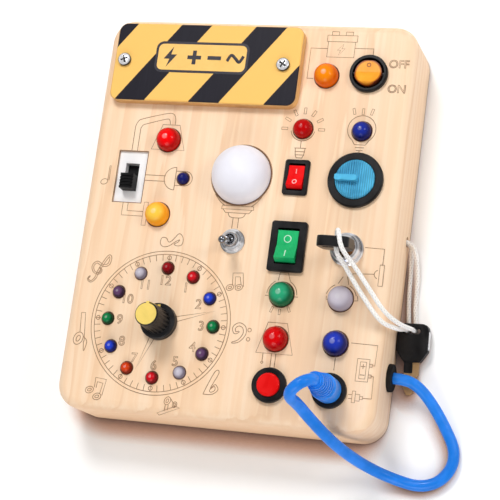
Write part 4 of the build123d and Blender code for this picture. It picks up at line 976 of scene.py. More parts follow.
class Sketch:
    """Strokes of a line drawing on the face, in millimetres."""

    def __init__(self) -> None:
        """Starts with no strokes."""
        self.strokes: list[tuple[list[Point], bool]] = []

    def line(self, *points: Point, closed: bool = False) -> "Sketch":
        """Adds straight runs through the points."""
        self.strokes.append((list(points), closed))
        return self

    def box(self, left: float, low: float, right: float, high: float) -> "Sketch":
        """Adds a rectangle."""
        return self.line(*rectangle(left, low, right, high), closed=True)

    def bar(self, centre: Point, width: float, height: float, turn: float = 0.0) -> "Sketch":
        """Adds an upright rectangle about its centre, turned by that many degrees."""
        corners = rectangle(-width / 2, -height / 2, width / 2, height / 2)
        return self.line(*(swung(centre, x, y, turn) for x, y in corners), closed=True)

    def arc(self, centre: Point, radius: float, start: float = 0.0, end: float = 360.0,
            squash: float = 1.0, turn: float = 0.0) -> "Sketch":
        """Adds a part of a circle or, squashed and turned, of an oval. Angles are in degrees."""
        whole = abs(end - start) >= 360
        steps = max(6, int(abs(end - start) * radius / 45) + 6)
        angles = [math.radians(start + (end - start) * i / steps)
                  for i in range(steps + (0 if whole else 1))]
        return self.line(*(
            swung(centre, radius * math.cos(a), radius * squash * math.sin(a), turn)
            for a in angles
        ), closed=whole)

    def flow(self, *points: Point, closed: bool = False, parts: int = 6) -> "Sketch":
        """Adds a smooth line through the points."""
        last = len(points) - 1
        smooth = []
        for i in range(last + 1 if closed else last):
            near = [(k % (last + 1)) if closed else min(max(k, 0), last)
                    for k in range(i - 1, i + 3)]
            a, b, c, d = (Vector(points[k]) for k in near)
            for step in range(parts):
                t = step / parts
                at = 0.5 * (2 * b + (c - a) * t + (2 * a - 5 * b + 4 * c - d) * t * t
                            + (3 * b - a - 3 * c + d) * t ** 3)
                smooth.append((at.x, at.y))
        if not closed:
            smooth.append(tuple(points[-1]))
        return self.line(*smooth, closed=closed)

    def ribbon(self, *points: Point, width: float = 1.0) -> "Sketch":
        """Adds the outline of a smooth stroke of that width, which narrows to its ends."""
        middle = [Vector(spot) for spot in Sketch().flow(*points).strokes[0][0]]
        last = len(middle) - 1
        sides: list[list[Point]] = [[], []]
        for i, spot in enumerate(middle):
            ahead = middle[min(i + 1, last)] - middle[max(i - 1, 0)]
            half = width / 2 * (1 - 0.7 * abs(2 * i / last - 1) ** 3)
            aside = Vector((-ahead.y, ahead.x)).normalized() * half
            sides[0].append(tuple(spot + aside))
            sides[1].append(tuple(spot - aside))
        return self.line(*sides[0], *reversed(sides[1]), closed=True)

    def head(self, centre: Point, size: float = 1.8, turn: float = 20.0) -> "Sketch":
        """Adds a note's head: an oval in an oval."""
        return self.arc(centre, size, squash=0.75, turn=turn).arc(
            centre, size * 0.5, squash=0.6, turn=turn)

    def note(self, head: Point, rise: float, size: float = 1.6) -> "Sketch":
        """Adds a hollow music note with its stem."""
        x, y = head
        left, right = x + size * 0.95, x + (size * 0.95 + 0.55)
        self.arc(head, size, squash=0.72, turn=20)
        return self.line((left, y + 0.3), (left, y + rise), (right, y + rise), (right, y + 0.6))

    def words(self, text: str, centre: Point, height: float) -> "Sketch":
        """Adds the outlines of letters or figures, centred, of that height.

        The built-in font is meshed, and the edges that have one face are its outlines.
        """
        curve = bpy.data.curves.new("letters", "FONT")
        curve.body = text
        curve.resolution_u = 4
        mesh = settled("letters", added("letters", curve))
        work = bmesh.new()
        work.from_mesh(mesh)
        bmesh.ops.remove_doubles(work, verts=work.verts, dist=1e-5)
        xs = [v.co.x for v in work.verts]
        ys = [v.co.y for v in work.verts]
        scale = height / (max(ys) - min(ys))
        middle = ((max(xs) + min(xs)) / 2, (max(ys) + min(ys)) / 2)
        rim = dict.fromkeys(e for e in work.edges if len(e.link_faces) == 1)
        while rim:
            edge, _ = rim.popitem()
            start, last = edge.verts
            loop = [start, last]
            while last is not start:
                edge = next(e for e in last.link_edges if e in rim)
                del rim[edge]
                last = edge.other_vert(last)
                loop.append(last)
            self.line(*((centre[0] + (vert.co.x - middle[0]) * scale,
                         centre[1] + (vert.co.y - middle[1]) * scale) for vert in loop[:-1]),
                      closed=True)
        work.free()
        bpy.data.meshes.remove(mesh)
        return self

    def mesh(self, name: str) -> bpy.types.Mesh:
        """The strokes as a mesh of edges, in metres."""
        points: list[Place] = []
        edges: list[tuple[int, int]] = []
        for stroke, closed in self.strokes:
            start = len(points)
            points.extend((x * MM, y * MM, 0.0) for x, y in stroke)
            edges.extend((start + i, start + i + 1) for i in range(len(stroke) - 1))
            if closed:
                edges.append((start + len(stroke) - 1, start))
        made = bpy.data.meshes.new(name)
        made.from_pydata(points, edges, [])
        return made


@dataclass
class Engraver(Assembly):
    """Burns sketches into the face."""

    recipe: Recipe
    width: float = 0.3
    level: float = FACE + 0.02

    def burn(self, name: str, sketch: Sketch, finish: Finish = ENGRAVED, width: float | None = None,
             level: float | None = None, flatness: float = 0.12) -> bpy.types.Object:
        """Makes a sketch a piece of the board, in lines of that width at that level."""
        return self.place(name, self.recipe.grow(
            name, sketch.mesh(name), finish.material(), Width=(width or self.width) * MM,
            Flatness=flatness, Level=(level or self.level) * MM,
        ))


# -------------------------------------------------------------- studio and cords


@dataclass
class Studio:
    """Camera, lamps, sky and floor.

    The clip distances and the floor's size and level are in metres. A lamp has a name, a place,
    a diameter and a power in watts, and points at the origin.
    """

    eye: Place = (217.3, -165.0, 675.8)
    right: Place = (0.9516, 0.1337, -0.2768)
    up: Place = (-0.0641, 0.9670, 0.2467)
    back: Place = (0.3007, -0.2170, 0.9287)
    lens: float = 122.68
    sensor: float = 36.0
    clip: Point = (0.01, 20.0)
    zenith: float = 0.25
    horizon: float = 0.85
    sky: Colour = (1, 0.985, 0.97, 1)
    white: Colour = (0.95, 0.945, 0.94, 1)
    floor_size: float = 6.0
    floor_level: float = -0.00005
    floor_lift: float = 0.12
    shade: Tint = (76, 40, 30)
    half_shade: Tint = (200, 156, 130)
    shade_lean: Place = (0.38, 0.68, 0.63)
    shade_reach: float = 13.0
    lamps: tuple[tuple[str, Place, float, float], ...] = (
        ("key_lamp", (-150.0, 520.0, 780.0), 300.0, 4.6),
        ("side_lamp", (620.0, 200.0, 520.0), 300.0, 1.6),
        ("top_lamp", (60.0, 40.0, 1000.0), 200.0, 0.5),
        ("front_lamp", (60.0, -800.0, 430.0), 520.0, 2.8),
    )

    def camera(self) -> None:
        """Makes the camera."""
        data = bpy.data.cameras.new("camera")
        data.lens = self.lens
        data.sensor_width = self.sensor
        data.clip_start, data.clip_end = self.clip
        made = added("camera", data)
        rows = list(zip(self.right, self.up, self.back, (c * MM for c in self.eye)))
        made.matrix_world = Matrix([*rows, (0, 0, 0, 1)])
        bpy.context.scene.camera = made

    def light(self) -> None:
        """Makes the soft lamps and the even sky."""
        for name, spot, size, power in self.lamps:
            data = bpy.data.lights.new(name, "AREA")
            data.shape = "DISK"
            data.size = size * MM
            data.energy = power
            made = added(name, data)
            made.location = [c * MM for c in spot]
            made.rotation_euler = (-Vector(spot)).to_track_quat("-Z", "Y").to_euler()
        world = bpy.data.worlds.new("studio")
        bpy.context.scene.world = world
        world.use_nodes = True
        desk = Desk(world.node_tree)
        desk.tree.nodes.clear()
        _, _, up = desk.split(desk.value("ShaderNodeTexCoord"))
        low = (1 - up.does("ABSOLUTE")) ** 2.0
        level = low * (self.horizon - self.zenith) + self.zenith
        soft = desk.value("ShaderNodeBackground", None, {0: self.sky, 1: level})
        white = desk.value("ShaderNodeBackground", None, {0: (1, 1, 1, 1), 1: 1.0})
        both = desk.value("ShaderNodeMixShader", None, {0: self.seen(desk), 1: soft, 2: white})
        desk.node("ShaderNodeOutputWorld", None, {0: both})

    def seen(self, desk: Desk) -> Val:
        """1 on rays that come straight from the camera."""
        return desk.value("ShaderNodeLightPath", name="Is Camera Ray")

    def floor(self) -> None:
        """Makes the white floor that keeps the shadow."""
        mesh = bpy.data.meshes.new("floor")
        half = self.floor_size / 2
        corners = rectangle(-half, -half, half, half)
        mesh.from_pydata([(x, y, self.floor_level) for x, y in corners], [], [(0, 1, 2, 3)])
        skin = Skin("white_floor", base_color=self.white, roughness=0.9, specular_ior_level=0.1,
                    emission_color=(1, 1, 1, 1))
        lean = skin.trio(*self.shade_lean)
        near = skin.value("ShaderNodeAmbientOcclusion", {"samples": 16},
                          {"Distance": self.shade_reach * MM, "Normal": lean}, "AO")
        open_floor = near.fade(0.1, 0.95)
        dusk = skin.mix(open_floor.fade(0.0, 0.5), self.shade, self.half_shade)
        skin.wear(Base_Color=skin.mix(open_floor.fade(0.45, 1.0), dusk, self.white),
                  Emission_Strength=self.seen(skin) * open_floor * self.floor_lift)
        mesh.materials.append(skin.material)
        made = added("floor", mesh)

    def build(self) -> None:
        """Sets up the studio."""
        bpy.context.scene.view_settings.view_transform = "Standard"
        self.camera()
        self.light()
        self.floor()
        log.info("studio ready")


def spline(name: str, points: tuple[Place, ...]) -> bpy.types.Curve:
    """A smooth line whose control points are given in millimetres."""
    curve = bpy.data.curves.new(name, "CURVE")
    curve.dimensions = "3D"
    run = curve.splines.new("NURBS")
    run.points.add(len(points) - 1)
    for spot, point in zip(run.points, points):
        spot.co = (*(c * MM for c in point), 1.0)
    run.order_u = 3
    run.use_endpoint_u = True
    curve.resolution_u = 10
    return curve


def path_of(line: bpy.types.Mesh) -> list[Place]:
    """The points of a line, in order."""
    return [tuple(v.co) for v in line.vertices]


@dataclass
class BlueCable(Assembly):
    """The blue lead from the side of the board to its plug.

    Two heights, where it gives, are kept, but the lead does not go over from the board to the
    plug between them.
    """

    diameter: float = 4.7
    length: float = 159.5
    gives: tuple[float, float] = (6.0, 55.0)
    route: tuple[Place, ...] = (
        (67.2, -58.45, 10.3), (72.4, -58.45, 10.3), (77.6, -59.5, 9.6), (82.4, -63.2, 7.2),
        (87.4, -69.6, 4.2), (91.6, -76.2, 2.65), (95.6, -83.2, 2.45), (95.8, -90.6, 2.45),
        (91.2, -97.2, 2.45), (83.4, -100.0, 2.45), (73.6, -98.2, 2.9), (64.6, -95.6, 7.4),
        (57.8, -92.6, 18.5), (51.8, -88.2, 33.5), (44.7, -81.3, 42.4), (41.7, -77.7, 48.8),
        (39.9, -76.1, 58.2), (44.1, -72.1, 62.0), (48.8, -68.9, 58.9), (48.8, -68.9, 55.35),
    )

    def build(self) -> None:
        """Makes the lead."""
        curve = spline("blue_cable", self.route)
        path = path_of(settled("cable_line", added("cable_line", curve)))
        curve.bevel_depth = self.diameter / 2 * MM
        curve.bevel_resolution = 7
        curve.use_fill_caps = True
        mesh = shaded(settled("blue_cable", added("blue_cable", curve)), CABLE_SKIN)
        lead = added("blue_cable", mesh)
        x, y, _ = self.route[-1]
        foot, top = ((x * MM, y * MM, level * MM) for level in self.gives)
        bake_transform(lead)
        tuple(foot)
        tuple(top)
        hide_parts("cable")
        [c * MM for c in self.route[0]]
        log.info("blue cable of %d points", len(self.route))


@dataclass
class KeyString(Assembly):
    """The white string through both keys. Its strands rise to its full diameter."""

    diameter: float = 1.9
    length: float = 236.5
    strand_rise: float = 0.05
    route: tuple[Place, ...] = (
        (65.0, -0.7, 4.955), (69.3, -0.9, 4.955), (69.5, -6.5, 2.9), (69.6, -14.0, 1.0),
        (69.8, -22.0, 1.0), (70.5, -29.5, 1.0), (71.5, -37.4, 1.0), (71.4, -37.5, 8.2),
        (71.5, -39.6, 17.0), (71.5, -41.3, 28.0), (67.0, -40.8, 35.5), (60.0, -31.8, 41.5),
        (55.4, -25.2, 46.0), (52.8, -21.0, 49.5), (50.0, -17.74, 52.47), (50.0, -9.54, 53.41),
        (51.6, -10.05, 57.83), (53.2, -17.35, 56.99), (57.4, -21.9, 49.5), (63.4, -30.0, 43.5),
        (68.6, -37.1, 37.5), (73.2, -39.7, 29.0), (74.1, -38.6, 17.0), (74.5, -37.5, 8.2),
        (74.6, -37.4, 1.0), (73.1, -28.5, 1.0), (72.9, -21.0, 1.0), (72.8, -13.0, 2.6),
        (71.9, -6.0, 5.2), (70.0, -1.0, 7.045), (65.5, -0.7, 7.045),
    )

    def build(self) -> None:
        """Makes the string along its smooth line."""
        line = settled("key_line", added("key_line", spline("key_line", self.route)))
        path = path_of(line)
        mesh = shaded(braid_recipe().grow(
            "white_string", line, STRING_SKIN.material(),
            Radius=(self.diameter / 2 - self.strand_rise) * MM,
        ), STRING_SKIN)
        made = self.place("white_string", mesh, Body.BOARD, ("key_string",))
        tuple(path[0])


# --------------------------------------------------------------- sub-assemblies


@dataclass
class WoodBody(Assembly):
    """The board: scorched rims round its openings, and its engraved drawings.

    A lamp hole and the dome have a place and a diameter; the slide has its four sides.
    """

    engraver: Engraver
    lamp_holes: tuple[Place, ...] = (
        (30.95, 61.74, 10), (-33.92, 30.95, 10), (24.11, -50.0, 10), (23.86, 38.44, 8),
        (48.9, -49.84, 10), (48.8, 38.55, 8), (-25.11, 14.5, 5), (-33.92, -1.6, 10),
        (24.11, -31.69, 10), (48.7, -31.69, 10),
    )
    dome: Place = (0.2, 17.3, 25.0)
    slide: Quad = (-55.2, 2.9, -42.2, 25.5)
    char: float = 0.42
    lamp_gap: float = 0.28
    dome_gap: float = 0.25

    def rims(self) -> None:
        """Burns the edges of the openings."""
        sketch = Sketch()
        for x, y, size in self.lamp_holes:
            sketch.arc((x, y), size / 2 + self.lamp_gap)
        sketch.arc(self.dome[:2], self.dome[2] / 2 + self.dome_gap)
        sketch.box(*self.slide)
        self.engraver.burn("scorched_rims", sketch, SCORCH, self.char)

    def supply(self) -> None:
        """Draws the battery with its wires, and OFF and ON."""
        sketch = Sketch().box(29.8, 70.2, 41.4, 77.0).box(29.2, 77.0, 42.1, 79.8)
        sketch.box(31.0, 79.8, 34.0, 81.4).box(37.0, 79.8, 40.0, 81.4)
        sketch.line((36.6, 76.0), (34.0, 73.3), (35.4, 73.3), (34.6, 71.0), (37.3, 74.0),
                    (35.9, 74.0), closed=True)
        sketch.line((29.8, 73.9), (22.6, 73.9), (22.6, 60.6), (25.2, 60.6))
        sketch.line((41.4, 74.3), (49.5, 74.3), (49.5, 71.6))
        sketch.words("OFF", (60.9, 68.0), 3.4).words("ON", (61.0, 57.3), 3.4)
        self.engraver.burn("engraved_supply", sketch)

    def bulbs(self) -> None:
        """Draws the bulbs with their rays round the red and the blue lamp."""
        red = Sketch()
        for turn in range(0, 210, 30):
            red.bar(swung((23.86, 38.44), 7.9, 0.0, turn), 1.0, 2.6, turn - 90)
        red.arc((23.85, 38.45), 5.1, 190, 350).line((23.7, 33.4), (23.7, 30.4))
        for y, half in ((30.2, 2.5), (28.7, 2.2), (27.3, 2.0), (26.0, 1.4)):
            red.line((23.7 - half, y), (23.7 + half, y))
        red.line((21.6, 30.2), (21.9, 27.3), (22.5, 26.0))
        red.line((25.8, 30.2), (25.5, 27.3), (24.9, 26.0))
        self.engraver.burn("engraved_ray_bulb", red)
        blue = Sketch().arc((48.6, 39.4), 5.9, -52, 232)
        blue.line((52.2, 34.8), (50.9, 32.8)).line((45.0, 34.8), (46.3, 32.8))
        for y, half in ((32.8, 2.3), (31.6, 1.9), (30.4, 1.4)):
            blue.line((48.6 - half, y), (48.6 + half, y))
        blue.line((48.6, 30.4), (48.6, 29.3))
        for x, lean in ((44.6, 16), (48.4, 0), (52.2, -16)):
            blue.bar((x, 47.0), 0.9, 2.6, lean)
        self.engraver.burn("engraved_round_bulb", blue)

    def shades(self) -> None:
        """Draws the dome's bulb, the lampshades and the pipes of the slide switch."""
        dome = Sketch().arc((0.2, 17.3), 13.15)
        dome.flow((-10.0, 8.6), (-7.4, 5.6), (-5.4, 4.2)).flow((10.2, 8.4), (8.0, 5.6), (6.3, 4.2))
        dome.line((-6.3, 4.1), (7.2, 4.1), (7.4, 2.6), (-6.5, 2.6), closed=True)
        dome.line((-5.8, 2.6), (-4.6, 1.1), (5.6, 1.1), (6.8, 2.6))
        dome.flow((-3.4, 1.1), (-2.4, -0.6), (0.4, -1.0), (3.2, -0.6), (4.2, 1.1))
        dome.line((-0.9, -1.0), (-0.9, -5.6)).line((1.5, -1.0), (1.5, -5.4))
        self.engraver.burn("engraved_dome_bulb", dome)
        shade = Sketch()
        shade.line((-37.6, 37.7), (-30.0, 37.7), (-26.6, 26.7), (-41.3, 26.7), closed=True)
        shade.line((-49.9, 25.7), (-49.9, 36.4))
        shade.flow((-49.9, 36.4), (-48.8, 38.9), (-46.5, 40.0), (-36.6, 42.6), (-33.6, 42.5),
                   (-32.4, 40.6), (-32.2, 37.9))
        shade.line((-47.4, 25.7), (-47.4, 35.6))
        shade.flow((-47.4, 35.6), (-46.6, 37.0), (-45.0, 37.7), (-36.6, 40.1), (-34.9, 39.7),
                   (-34.4, 37.9))
        shade.line((24.1 - 4.0, -43.3), (24.1 + 4.0, -43.3), (31.8, -56.0), (16.5, -56.0),
                   closed=True)
        shade.line((23.2, -56.0), (23.2, -61.6)).line((25.0, -56.0), (25.0, -61.6))
        shade.line((19.6, -56.0), (19.6, -59.3)).arc((19.6, -59.8), 0.45)
        self.engraver.burn("engraved_lampshades", shade)
        pipes = Sketch().line((-42.0, 15.3), (-33.0, 15.3)).line((-42.0, 12.9), (-33.0, 12.9))
        pipes.arc((-28.6, 14.3), 4.9, 90, 270).line((-28.6, 19.2), (-28.6, 9.4))
        pipes.line((-28.6, 17.6), (-24.2, 17.6)).arc((-24.2, 14.5), 3.1, 90, -90)
        pipes.line((-24.2, 11.4), (-28.6, 11.4))
        pipes.line((-50.2, 2.8), (-50.2, -2.7), (-40.7, -2.7))
        pipes.line((-47.9, 2.8), (-47.9, -0.7), (-40.7, -0.7)).box(-40.7, -6.6, -38.9, 3.4)
        self.engraver.burn("engraved_pipes", pipes)

    def sockets(self) -> None:
        """Draws the bulbs round the two lamps below the lock."""
        low = Sketch().line((21.9, -25.9), (22.3, -22.6), (25.7, -22.4), (27.0, -26.0))
        low.arc((24.1, -31.7), 6.3, 2, 62).arc((24.1, -31.7), 6.3, 122, 178)
        low.line((17.2, -32.4), (18.8, -32.4)).line((29.4, -32.2), (31.0, -32.2))
        for x, y, lean in ((20.7, -38.0, -20), (24.1, -38.8, 0), (27.8, -37.5, 26)):
            low.bar((x, y), 0.8, 2.3, lean)
        low.arc((48.7, -31.7), 6.4, 15, 62).arc((48.7, -31.7), 6.4, 118, 165)
        low.line((51.3, -25.6), (50.3, -22.3)).line((46.9, -25.4), (48.6, -22.5))
        low.line((42.7, -30.8), (42.7, -32.2), (44.4, -32.2))
        low.line((55.4, -30.0), (55.8, -31.9), (54.3, -32.0))
        self.engraver.burn("engraved_low_bulbs", low)

    def wires(self) -> None:
        """Draws the wires from the lock and from the blue lamp."""
        sketch = Sketch().line((56.0, -9.9), (64.1, -10.1), (64.1, -16.6))
        sketch.box(63.1, -25.3, 64.9, -16.7).arc((63.1, -20.6), 2.0, 112, 248, 0.9)
        sketch.line((61.2, -20.6), (52.4, -21.0), (52.2, -22.4))
        sketch.line((55.2, -49.0), (66.0, -49.2), (65.8, -57.4), (64.8, -57.4))
        sketch.box(58.6, -64.0, 63.6, -55.0).box(59.9, -62.9, 62.4, -56.2)
        sketch.box(63.6, -58.0, 64.8, -56.8).box(63.6, -62.3, 64.8, -61.1)
        sketch.line((61.15, -57.0), (61.15, -59.0)).line((60.2, -58.0), (62.1, -58.0))
        sketch.line((60.2, -61.4), (62.1, -61.4))
        sketch.line((64.8, -61.7), (65.8, -61.7), (66.0, -70.5), (62.4, -70.6))
        sketch.box(58.1, -72.6, 59.4, -68.0).box(59.4, -71.8, 61.2, -69.2)
        sketch.box(61.2, -71.1, 62.4, -69.9)
        sketch.line((58.1, -69.5), (56.6, -69.5)).line((58.1, -71.1), (56.6, -71.1))
        sketch.line((49.5, -55.4), (49.5, -60.5))
        self.engraver.burn("engraved_wires", sketch)

    def music(self) -> None:
        """Draws the music notes and clefs round the clock."""
        sketch = Sketch().note((-60.2, 11.4), 7.0)
        sketch.flow((-31.0, -13.2), (-30.5, -11.4), (-28.6, -11.4), (-27.1, -13.1), (-25.1, -11.4),
                    (-23.3, -9.2), (-21.6, -10.3), (-21.1, -12.4), (-21.7, -14.1), (-23.7, -14.4),
                    (-24.8, -13.7), (-23.3, -12.9), (-22.8, -11.8), (-24.9, -13.1), (-26.8, -14.6),
                    (-29.1, -15.2), (-30.6, -14.4), closed=True, parts=4)
        sketch.ribbon((-59.8, -29.8), (-60.6, -31.1), (-59.2, -32.1), (-57.4, -30.6),
                      (-56.5, -27.7), (-54.7, -23.9), (-52.8, -20.8), (-51.8, -21.5),
                      (-52.4, -24.3), (-54.9, -24.9), (-57.5, -23.7), (-59.2, -25.4),
                      (-58.4, -27.8), (-56.1, -28.5), (-55.1, -27.0), (-56.3, -25.8), width=0.85)
        sketch.head((-60.7, -56.5), 2.7, 70)
        sketch.line((-60.4, -53.6), (-61.0, -45.6), (-59.2, -45.5), (-57.9, -57.6))
        sketch.flow((-58.5, -55.6), (-56.7, -57.6), (-57.5, -61.6), (-58.2, -57.4))
        sketch.head((-52.2, -77.4)).head((-48.5, -79.9))
        sketch.line((-50.2, -76.2), (-50.2, -72.1), (-45.4, -72.6), (-46.4, -79.3))
        sketch.line((-47.5, -78.9), (-46.7, -74.3), (-49.2, -73.8), (-49.4, -76.4))
        sketch.head((-17.8, -78.9), 1.7, 70).head((-14.5, -80.2), 1.2, 70)
        sketch.line((-21.5, -84.2), (-20.4, -85.0), (-12.2, -81.4), (-14.0, -80.8), closed=True)
        sketch.line((-16.6, -77.8), (-14.9, -80.0)).line((-18.4, -80.5), (-18.6, -83.2))
        sketch.line((-17.2, -80.4), (-17.2, -82.6))
        sketch.flow((0.6, -65.4), (2.4, -65.7), (-0.4, -72.2), (1.4, -70.5), (2.9, -72.5),
                    (0.8, -74.5), (-2.6, -74.8), (-2.8, -73.8), closed=True, parts=4)
        sketch.flow((-0.6, -73.0), (1.2, -71.3), (1.6, -72.8), (0.1, -73.8), closed=True, parts=4)
        sketch.head((1.9, -30.3), 1.6).head((5.7, -30.0), 1.6)
        sketch.line((2.9, -29.4), (2.4, -24.2), (6.7, -23.9), (7.6, -29.6))
        sketch.line((6.5, -28.8), (5.7, -25.6), (3.7, -25.7), (4.0, -29.7))
        sketch.ribbon((5.9, -52.9), (8.6, -52.0), (10.7, -49.1), (10.3, -46.3), (8.0, -45.2),
                      (6.1, -46.7), (6.7, -48.7), (8.4, -48.2), width=1.3)
        sketch.arc((12.7, -47.2), 0.75).arc((12.6, -51.0), 0.75)
        self.engraver.burn("engraved_music", sketch)

    def build(self) -> None:
        """Makes everything on the face but the clock."""
        self.rims()
        self.supply()
        self.bulbs()
        self.shades()
        self.sockets()
        self.wires()
        self.music()


@dataclass
class Clock(Assembly):
    """The engraved clock round the selector.

    It has radii for its rings, figures, lamps and minute bars. A hand starts at the root's
    radius, where its half width is the hand's size, and ends at its tip. A bar has a length,
    a width and a depth.
    """

    engraver: Engraver
    bars: Recipe
    centre: Point = (-25.9, -47.1)
    outer: float = 30.15
    inner: float = 28.8
    figures: float = 17.8
    lamps: float = 23.0
    minutes: float = 27.4
    root: float = 6.5
    hand: float = 1.1
    digit: float = 3.9
    dot: float = 0.85
    rim: float = 2.75
    bar: Place = (2.5, 0.26, 0.04)
    tips: tuple[Point, Point] = ((-3.0, -40.6), (-33.6, -67.2))

    def at(self, radius: float, degrees: float) -> Point:
        """A point at that bearing, clockwise from the top."""
        return swung(self.centre, radius, 0.0, 90 - degrees)

    def build(self) -> None:
        """Burns the rings, the minute bars, the figures and the hands."""
        sketch = Sketch().arc(self.centre, self.outer).arc(self.centre, self.inner)
        for hour in range(1, 13):
            sketch.words(str(hour), self.at(self.figures, 30 * hour), self.digit)
            sketch.arc(self.at(self.minutes, 30 * hour), self.dot)
        for tip in self.tips:
            ray = Vector(tip) - Vector(self.centre)
            unit = ray.normalized()
            side = Vector((-unit.y, unit.x))
            root = Vector(self.centre) + unit * self.root
            sketch.line(tuple(root + side * self.hand), tip, tuple(root - side * self.hand))
        self.engraver.burn("engraved_clock", sketch)
        rims = Sketch()
        for hour in range(12):
            rims.arc(self.at(self.lamps, 30 * hour), self.rim)
        self.engraver.burn("scorched_clock_rims", rims, SCORCH, 0.36)
        length, width, depth = self.bar
        mesh = self.bars.grow(
            "minute_bars", bpy.data.meshes.new("seed"), ENGRAVED.material(), Count=60,
            Radius=self.minutes * MM, Length=length * MM, Width=width * MM, Depth=depth * MM,
            Across=self.centre[0] * MM, Along=self.centre[1] * MM, Level=self.engraver.level * MM,
        )
        self.place("minute_bars", mesh)


@dataclass
class CoverPlate(Assembly):
    """The printed cover: its badge of plain signs, and its cross-head screws.

    A screw has a place and a turn in radians. The cross in its head has arms of that half width
    and reach, with sloping sides.
    """

    engraver: Engraver
    top: float = 34.4
    badge: Quad = (-44.0, 59.6, -2.5, 73.4)
    screws: tuple[Place, ...] = ((-57.6, 64.5, 0.35), (13.0, 64.5, 1.0))
    head: float = 5.6
    rise: float = 1.8
    crown: float = 0.42
    arm: float = 0.42
    arm_slope: float = 0.14
    reach: float = 1.85
    reach_slope: float = 0.5
    depth: float = 0.95
    edge: float = 0.25
    margin: float = 1.1

    def signs(self) -> None:
        """Prints a yellow panel with a flash, a plus, a minus and a wave."""
        left, low, right, high = self.badge
        rim = rounded(left, low, right, high, 3.2)
        inner = rounded(left + self.margin, low + self.margin, right - self.margin,
                        high - self.margin, 2.3)
        self.piece("badge_rim", slab(rim, self.top - 0.02, self.top + 0.02), NAVY_INK)
        self.piece("badge_field", slab(inner, self.top - 0.01, self.top + 0.035), YELLOW_INK)
        mid = (low + high) / 2
        flash = [(-36.2, 4.6), (-40.2, -0.9), (-37.6, -0.9), (-38.8, -4.6), (-34.4, 1.1),
                 (-37.0, 1.1)]
        plus = [(-29.6, -0.85), (-27.4, -0.85), (-27.4, -3.1), (-25.7, -3.1), (-25.7, -0.85),
                (-23.5, -0.85), (-23.5, 0.85), (-25.7, 0.85), (-25.7, 3.1), (-27.4, 3.1),
                (-27.4, 0.85), (-29.6, 0.85)]
        minus = rectangle(-20.6, -0.85, -14.6, 0.85)
        signs = joined(*(
            slab([(x, mid + y) for x, y in sign], self.top + 0.02, self.top + 0.055)
            for sign in (flash, plus, minus)
        ))
        self.piece("badge_signs", signs, NAVY_INK)
        wave = Sketch().flow((-11.8, mid - 1.2), (-10.2, mid + 1.5), (-8.2, mid), (-6.4, mid - 1.5),
                             (-4.8, mid + 1.2), parts=8)
        self.engraver.burn("badge_wave", wave, NAVY_INK, 1.3, self.top + 0.04, 0.04)

    def level(self, x: float, y: float) -> float:
        """The height of a screw's head over the plate, x and y along the arms of its cross."""
        out, radius = math.hypot(x, y), self.head / 2
        arm, reach = sorted((abs(x), abs(y)))
        across = max(0.0, min(1.0, (self.arm - arm) / self.arm_slope))
        along = max(0.0, min(1.0, (self.reach - reach) / self.reach_slope))
        return self.rise * (1 - self.crown * (out / radius) ** 2.6) - self.depth * across * along

    def screw(self, x: float, y: float, turn: float, rings: int = 26, parts: int = 96) -> Shape:
        """A pan head with a cross cut into it, turned by that many radians."""
        radius = self.head / 2
        points = [
            (x + r * math.cos(a), y + r * math.sin(a),
             self.top + self.level(r * math.cos(a - turn), r * math.sin(a - turn)))
            for r in (radius * ring / rings for ring in range(rings + 1))
            for a in bearings(parts)
        ]
        points += [(x + r * math.cos(a), y + r * math.sin(a), self.top)
                   for r in (radius, radius - self.edge, 0.0) for a in bearings(parts)]
        return bands(points, parts)

    def build(self) -> None:
        """Makes the print and the screw heads."""
        self.signs()
        heads = joined(*(self.screw(*screw) for screw in self.screws))
        self.piece("cover_screw_heads", heads, COVER_SCREW, stands_for=("cover_screws",), crease=50)


@dataclass
class KeyHeads(Assembly):
    """The moulded heads of both keys, their edges rounded as a mould leaves them."""

    grid: float = 0.2
    rounds: int = 14

    def soften(self, node: str, name: str, body: Body) -> None:
        """Rounds the edges of a CAD node in a piece that replaces it.

        Args:
            node: The node.
            name: The piece's name.
            body: The body that it rides on.
        """
        holder = added(name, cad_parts[node].data.copy())
        grid = holder.modifiers.new("grid", "REMESH")
        grid.mode = "VOXEL"
        grid.voxel_size = self.grid * MM
        ease = holder.modifiers.new("ease", "SMOOTH")
        ease.factor, ease.iterations = 0.5, self.rounds
        mesh = shaded(settled(name, holder), NODE_FINISH[node])
        self.place(name, mesh, body, (node,))

    def build(self) -> None:
        """Makes both heads."""
        self.soften("key_head", "key_head_moulded", Body.KEY)
        self.soften("spare_key_head", "spare_key_head_moulded", Body.BOARD)


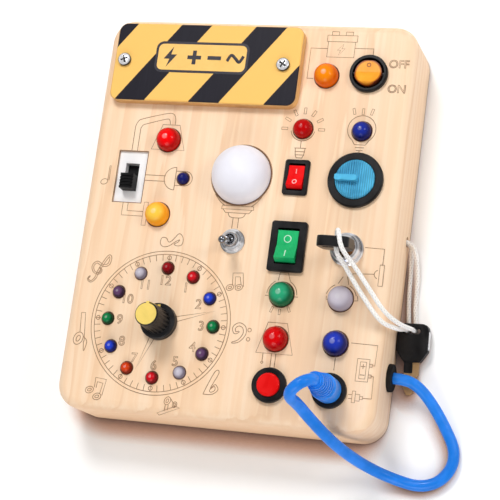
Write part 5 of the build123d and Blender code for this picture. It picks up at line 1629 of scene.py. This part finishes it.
@dataclass
class SwitchMarks(Assembly):
    """Marks laid on the tilting caps of the rocker switches, found with rays from above."""

    lift: float = 0.03
    thick: float = 0.05
    above: float = 100.0

    def drape(self, name: str, flats: list[Shape], finish: Finish, body: Body) -> None:
        """Lays flat shapes on the top of a rocker, whose body and CAD node have one name."""
        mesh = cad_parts[body.value].data
        tree = BVHTree.FromPolygons([v.co for v in mesh.vertices],
                                    [p.vertices for p in mesh.polygons])
        points, faces = joined(*flats)
        laid = []
        for x, y, z in points:
            eye = Vector((x, y, self.above)) * MM
            hit = tree.ray_cast(eye, Vector((0, 0, -1)))[0]
            level = hit.z / MM if hit else FACE
            laid.append((x, y, level + self.lift + z))
        self.piece(name, (laid, faces), finish, body)

    def ring(self, x: float, y: float, radius: float, width: float, parts: int = 32) -> Shape:
        """A flat O."""
        inner, thick = radius - width, self.thick
        rows = ((radius, 0.0), (radius, thick), (inner, thick), (inner, 0.0), (radius, 0.0))
        return bands([(x + r * math.cos(a), y + r * math.sin(a), z)
                      for r, z in rows for a in bearings(parts)], parts)

    def bar(self, x: float, y: float, width: float, height: float) -> Shape:
        """A flat I."""
        return slab(rectangle(x - width / 2, y - height / 2, x + width / 2, y + height / 2),
                    0.0, self.thick)

    def build(self) -> None:
        """Marks the three rockers."""
        for name, finish, body, flats in (
            ("power_mark", AMBER_INK, Body.POWER, [self.ring(48.8, 66.6, 0.95, 0.4)]),
            ("red_on_mark", PINK_INK, Body.RED, [self.bar(23.8, 19.9, 0.32, 1.9)]),
            ("red_off_mark", PINK_INK, Body.RED, [self.ring(23.8, 15.2, 1.05, 0.4)]),
            ("green_marks", MINT_INK, Body.GREEN,
             [self.ring(24.1, -8.9, 1.6, 0.36), self.bar(24.1, -15.2, 0.4, 2.6)]),
        ):
            self.drape(name, flats, finish, body)


def dress_nodes() -> None:
    """Gives each solid of the frame its finish."""
    for name, finish in NODE_FINISH.items():
        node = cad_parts[name]
        if not node.data.materials:
            node.data.materials.append(None)
        for slot in node.material_slots:
            slot.material = finish.material()
    missing = sorted(set(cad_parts) - set(NODE_FINISH))
    if missing:
        log.warning("solids without a finish: %s", missing)


def main() -> None:
    """Builds the studio, the cords and the sub-assemblies in order."""
    logging.basicConfig(level=logging.INFO, format="%(name)s %(message)s")
    Studio().build()
    BlueCable().build()
    KeyHeads().build()
    KeyString().build()
    dress_nodes()
    engraver = Engraver(engraving_recipe())
    WoodBody(engraver).build()
    Clock(engraver, tick_recipe()).build()
    CoverPlate(engraver).build()
    SwitchMarks().build()


if __name__ == "__main__":
    main()
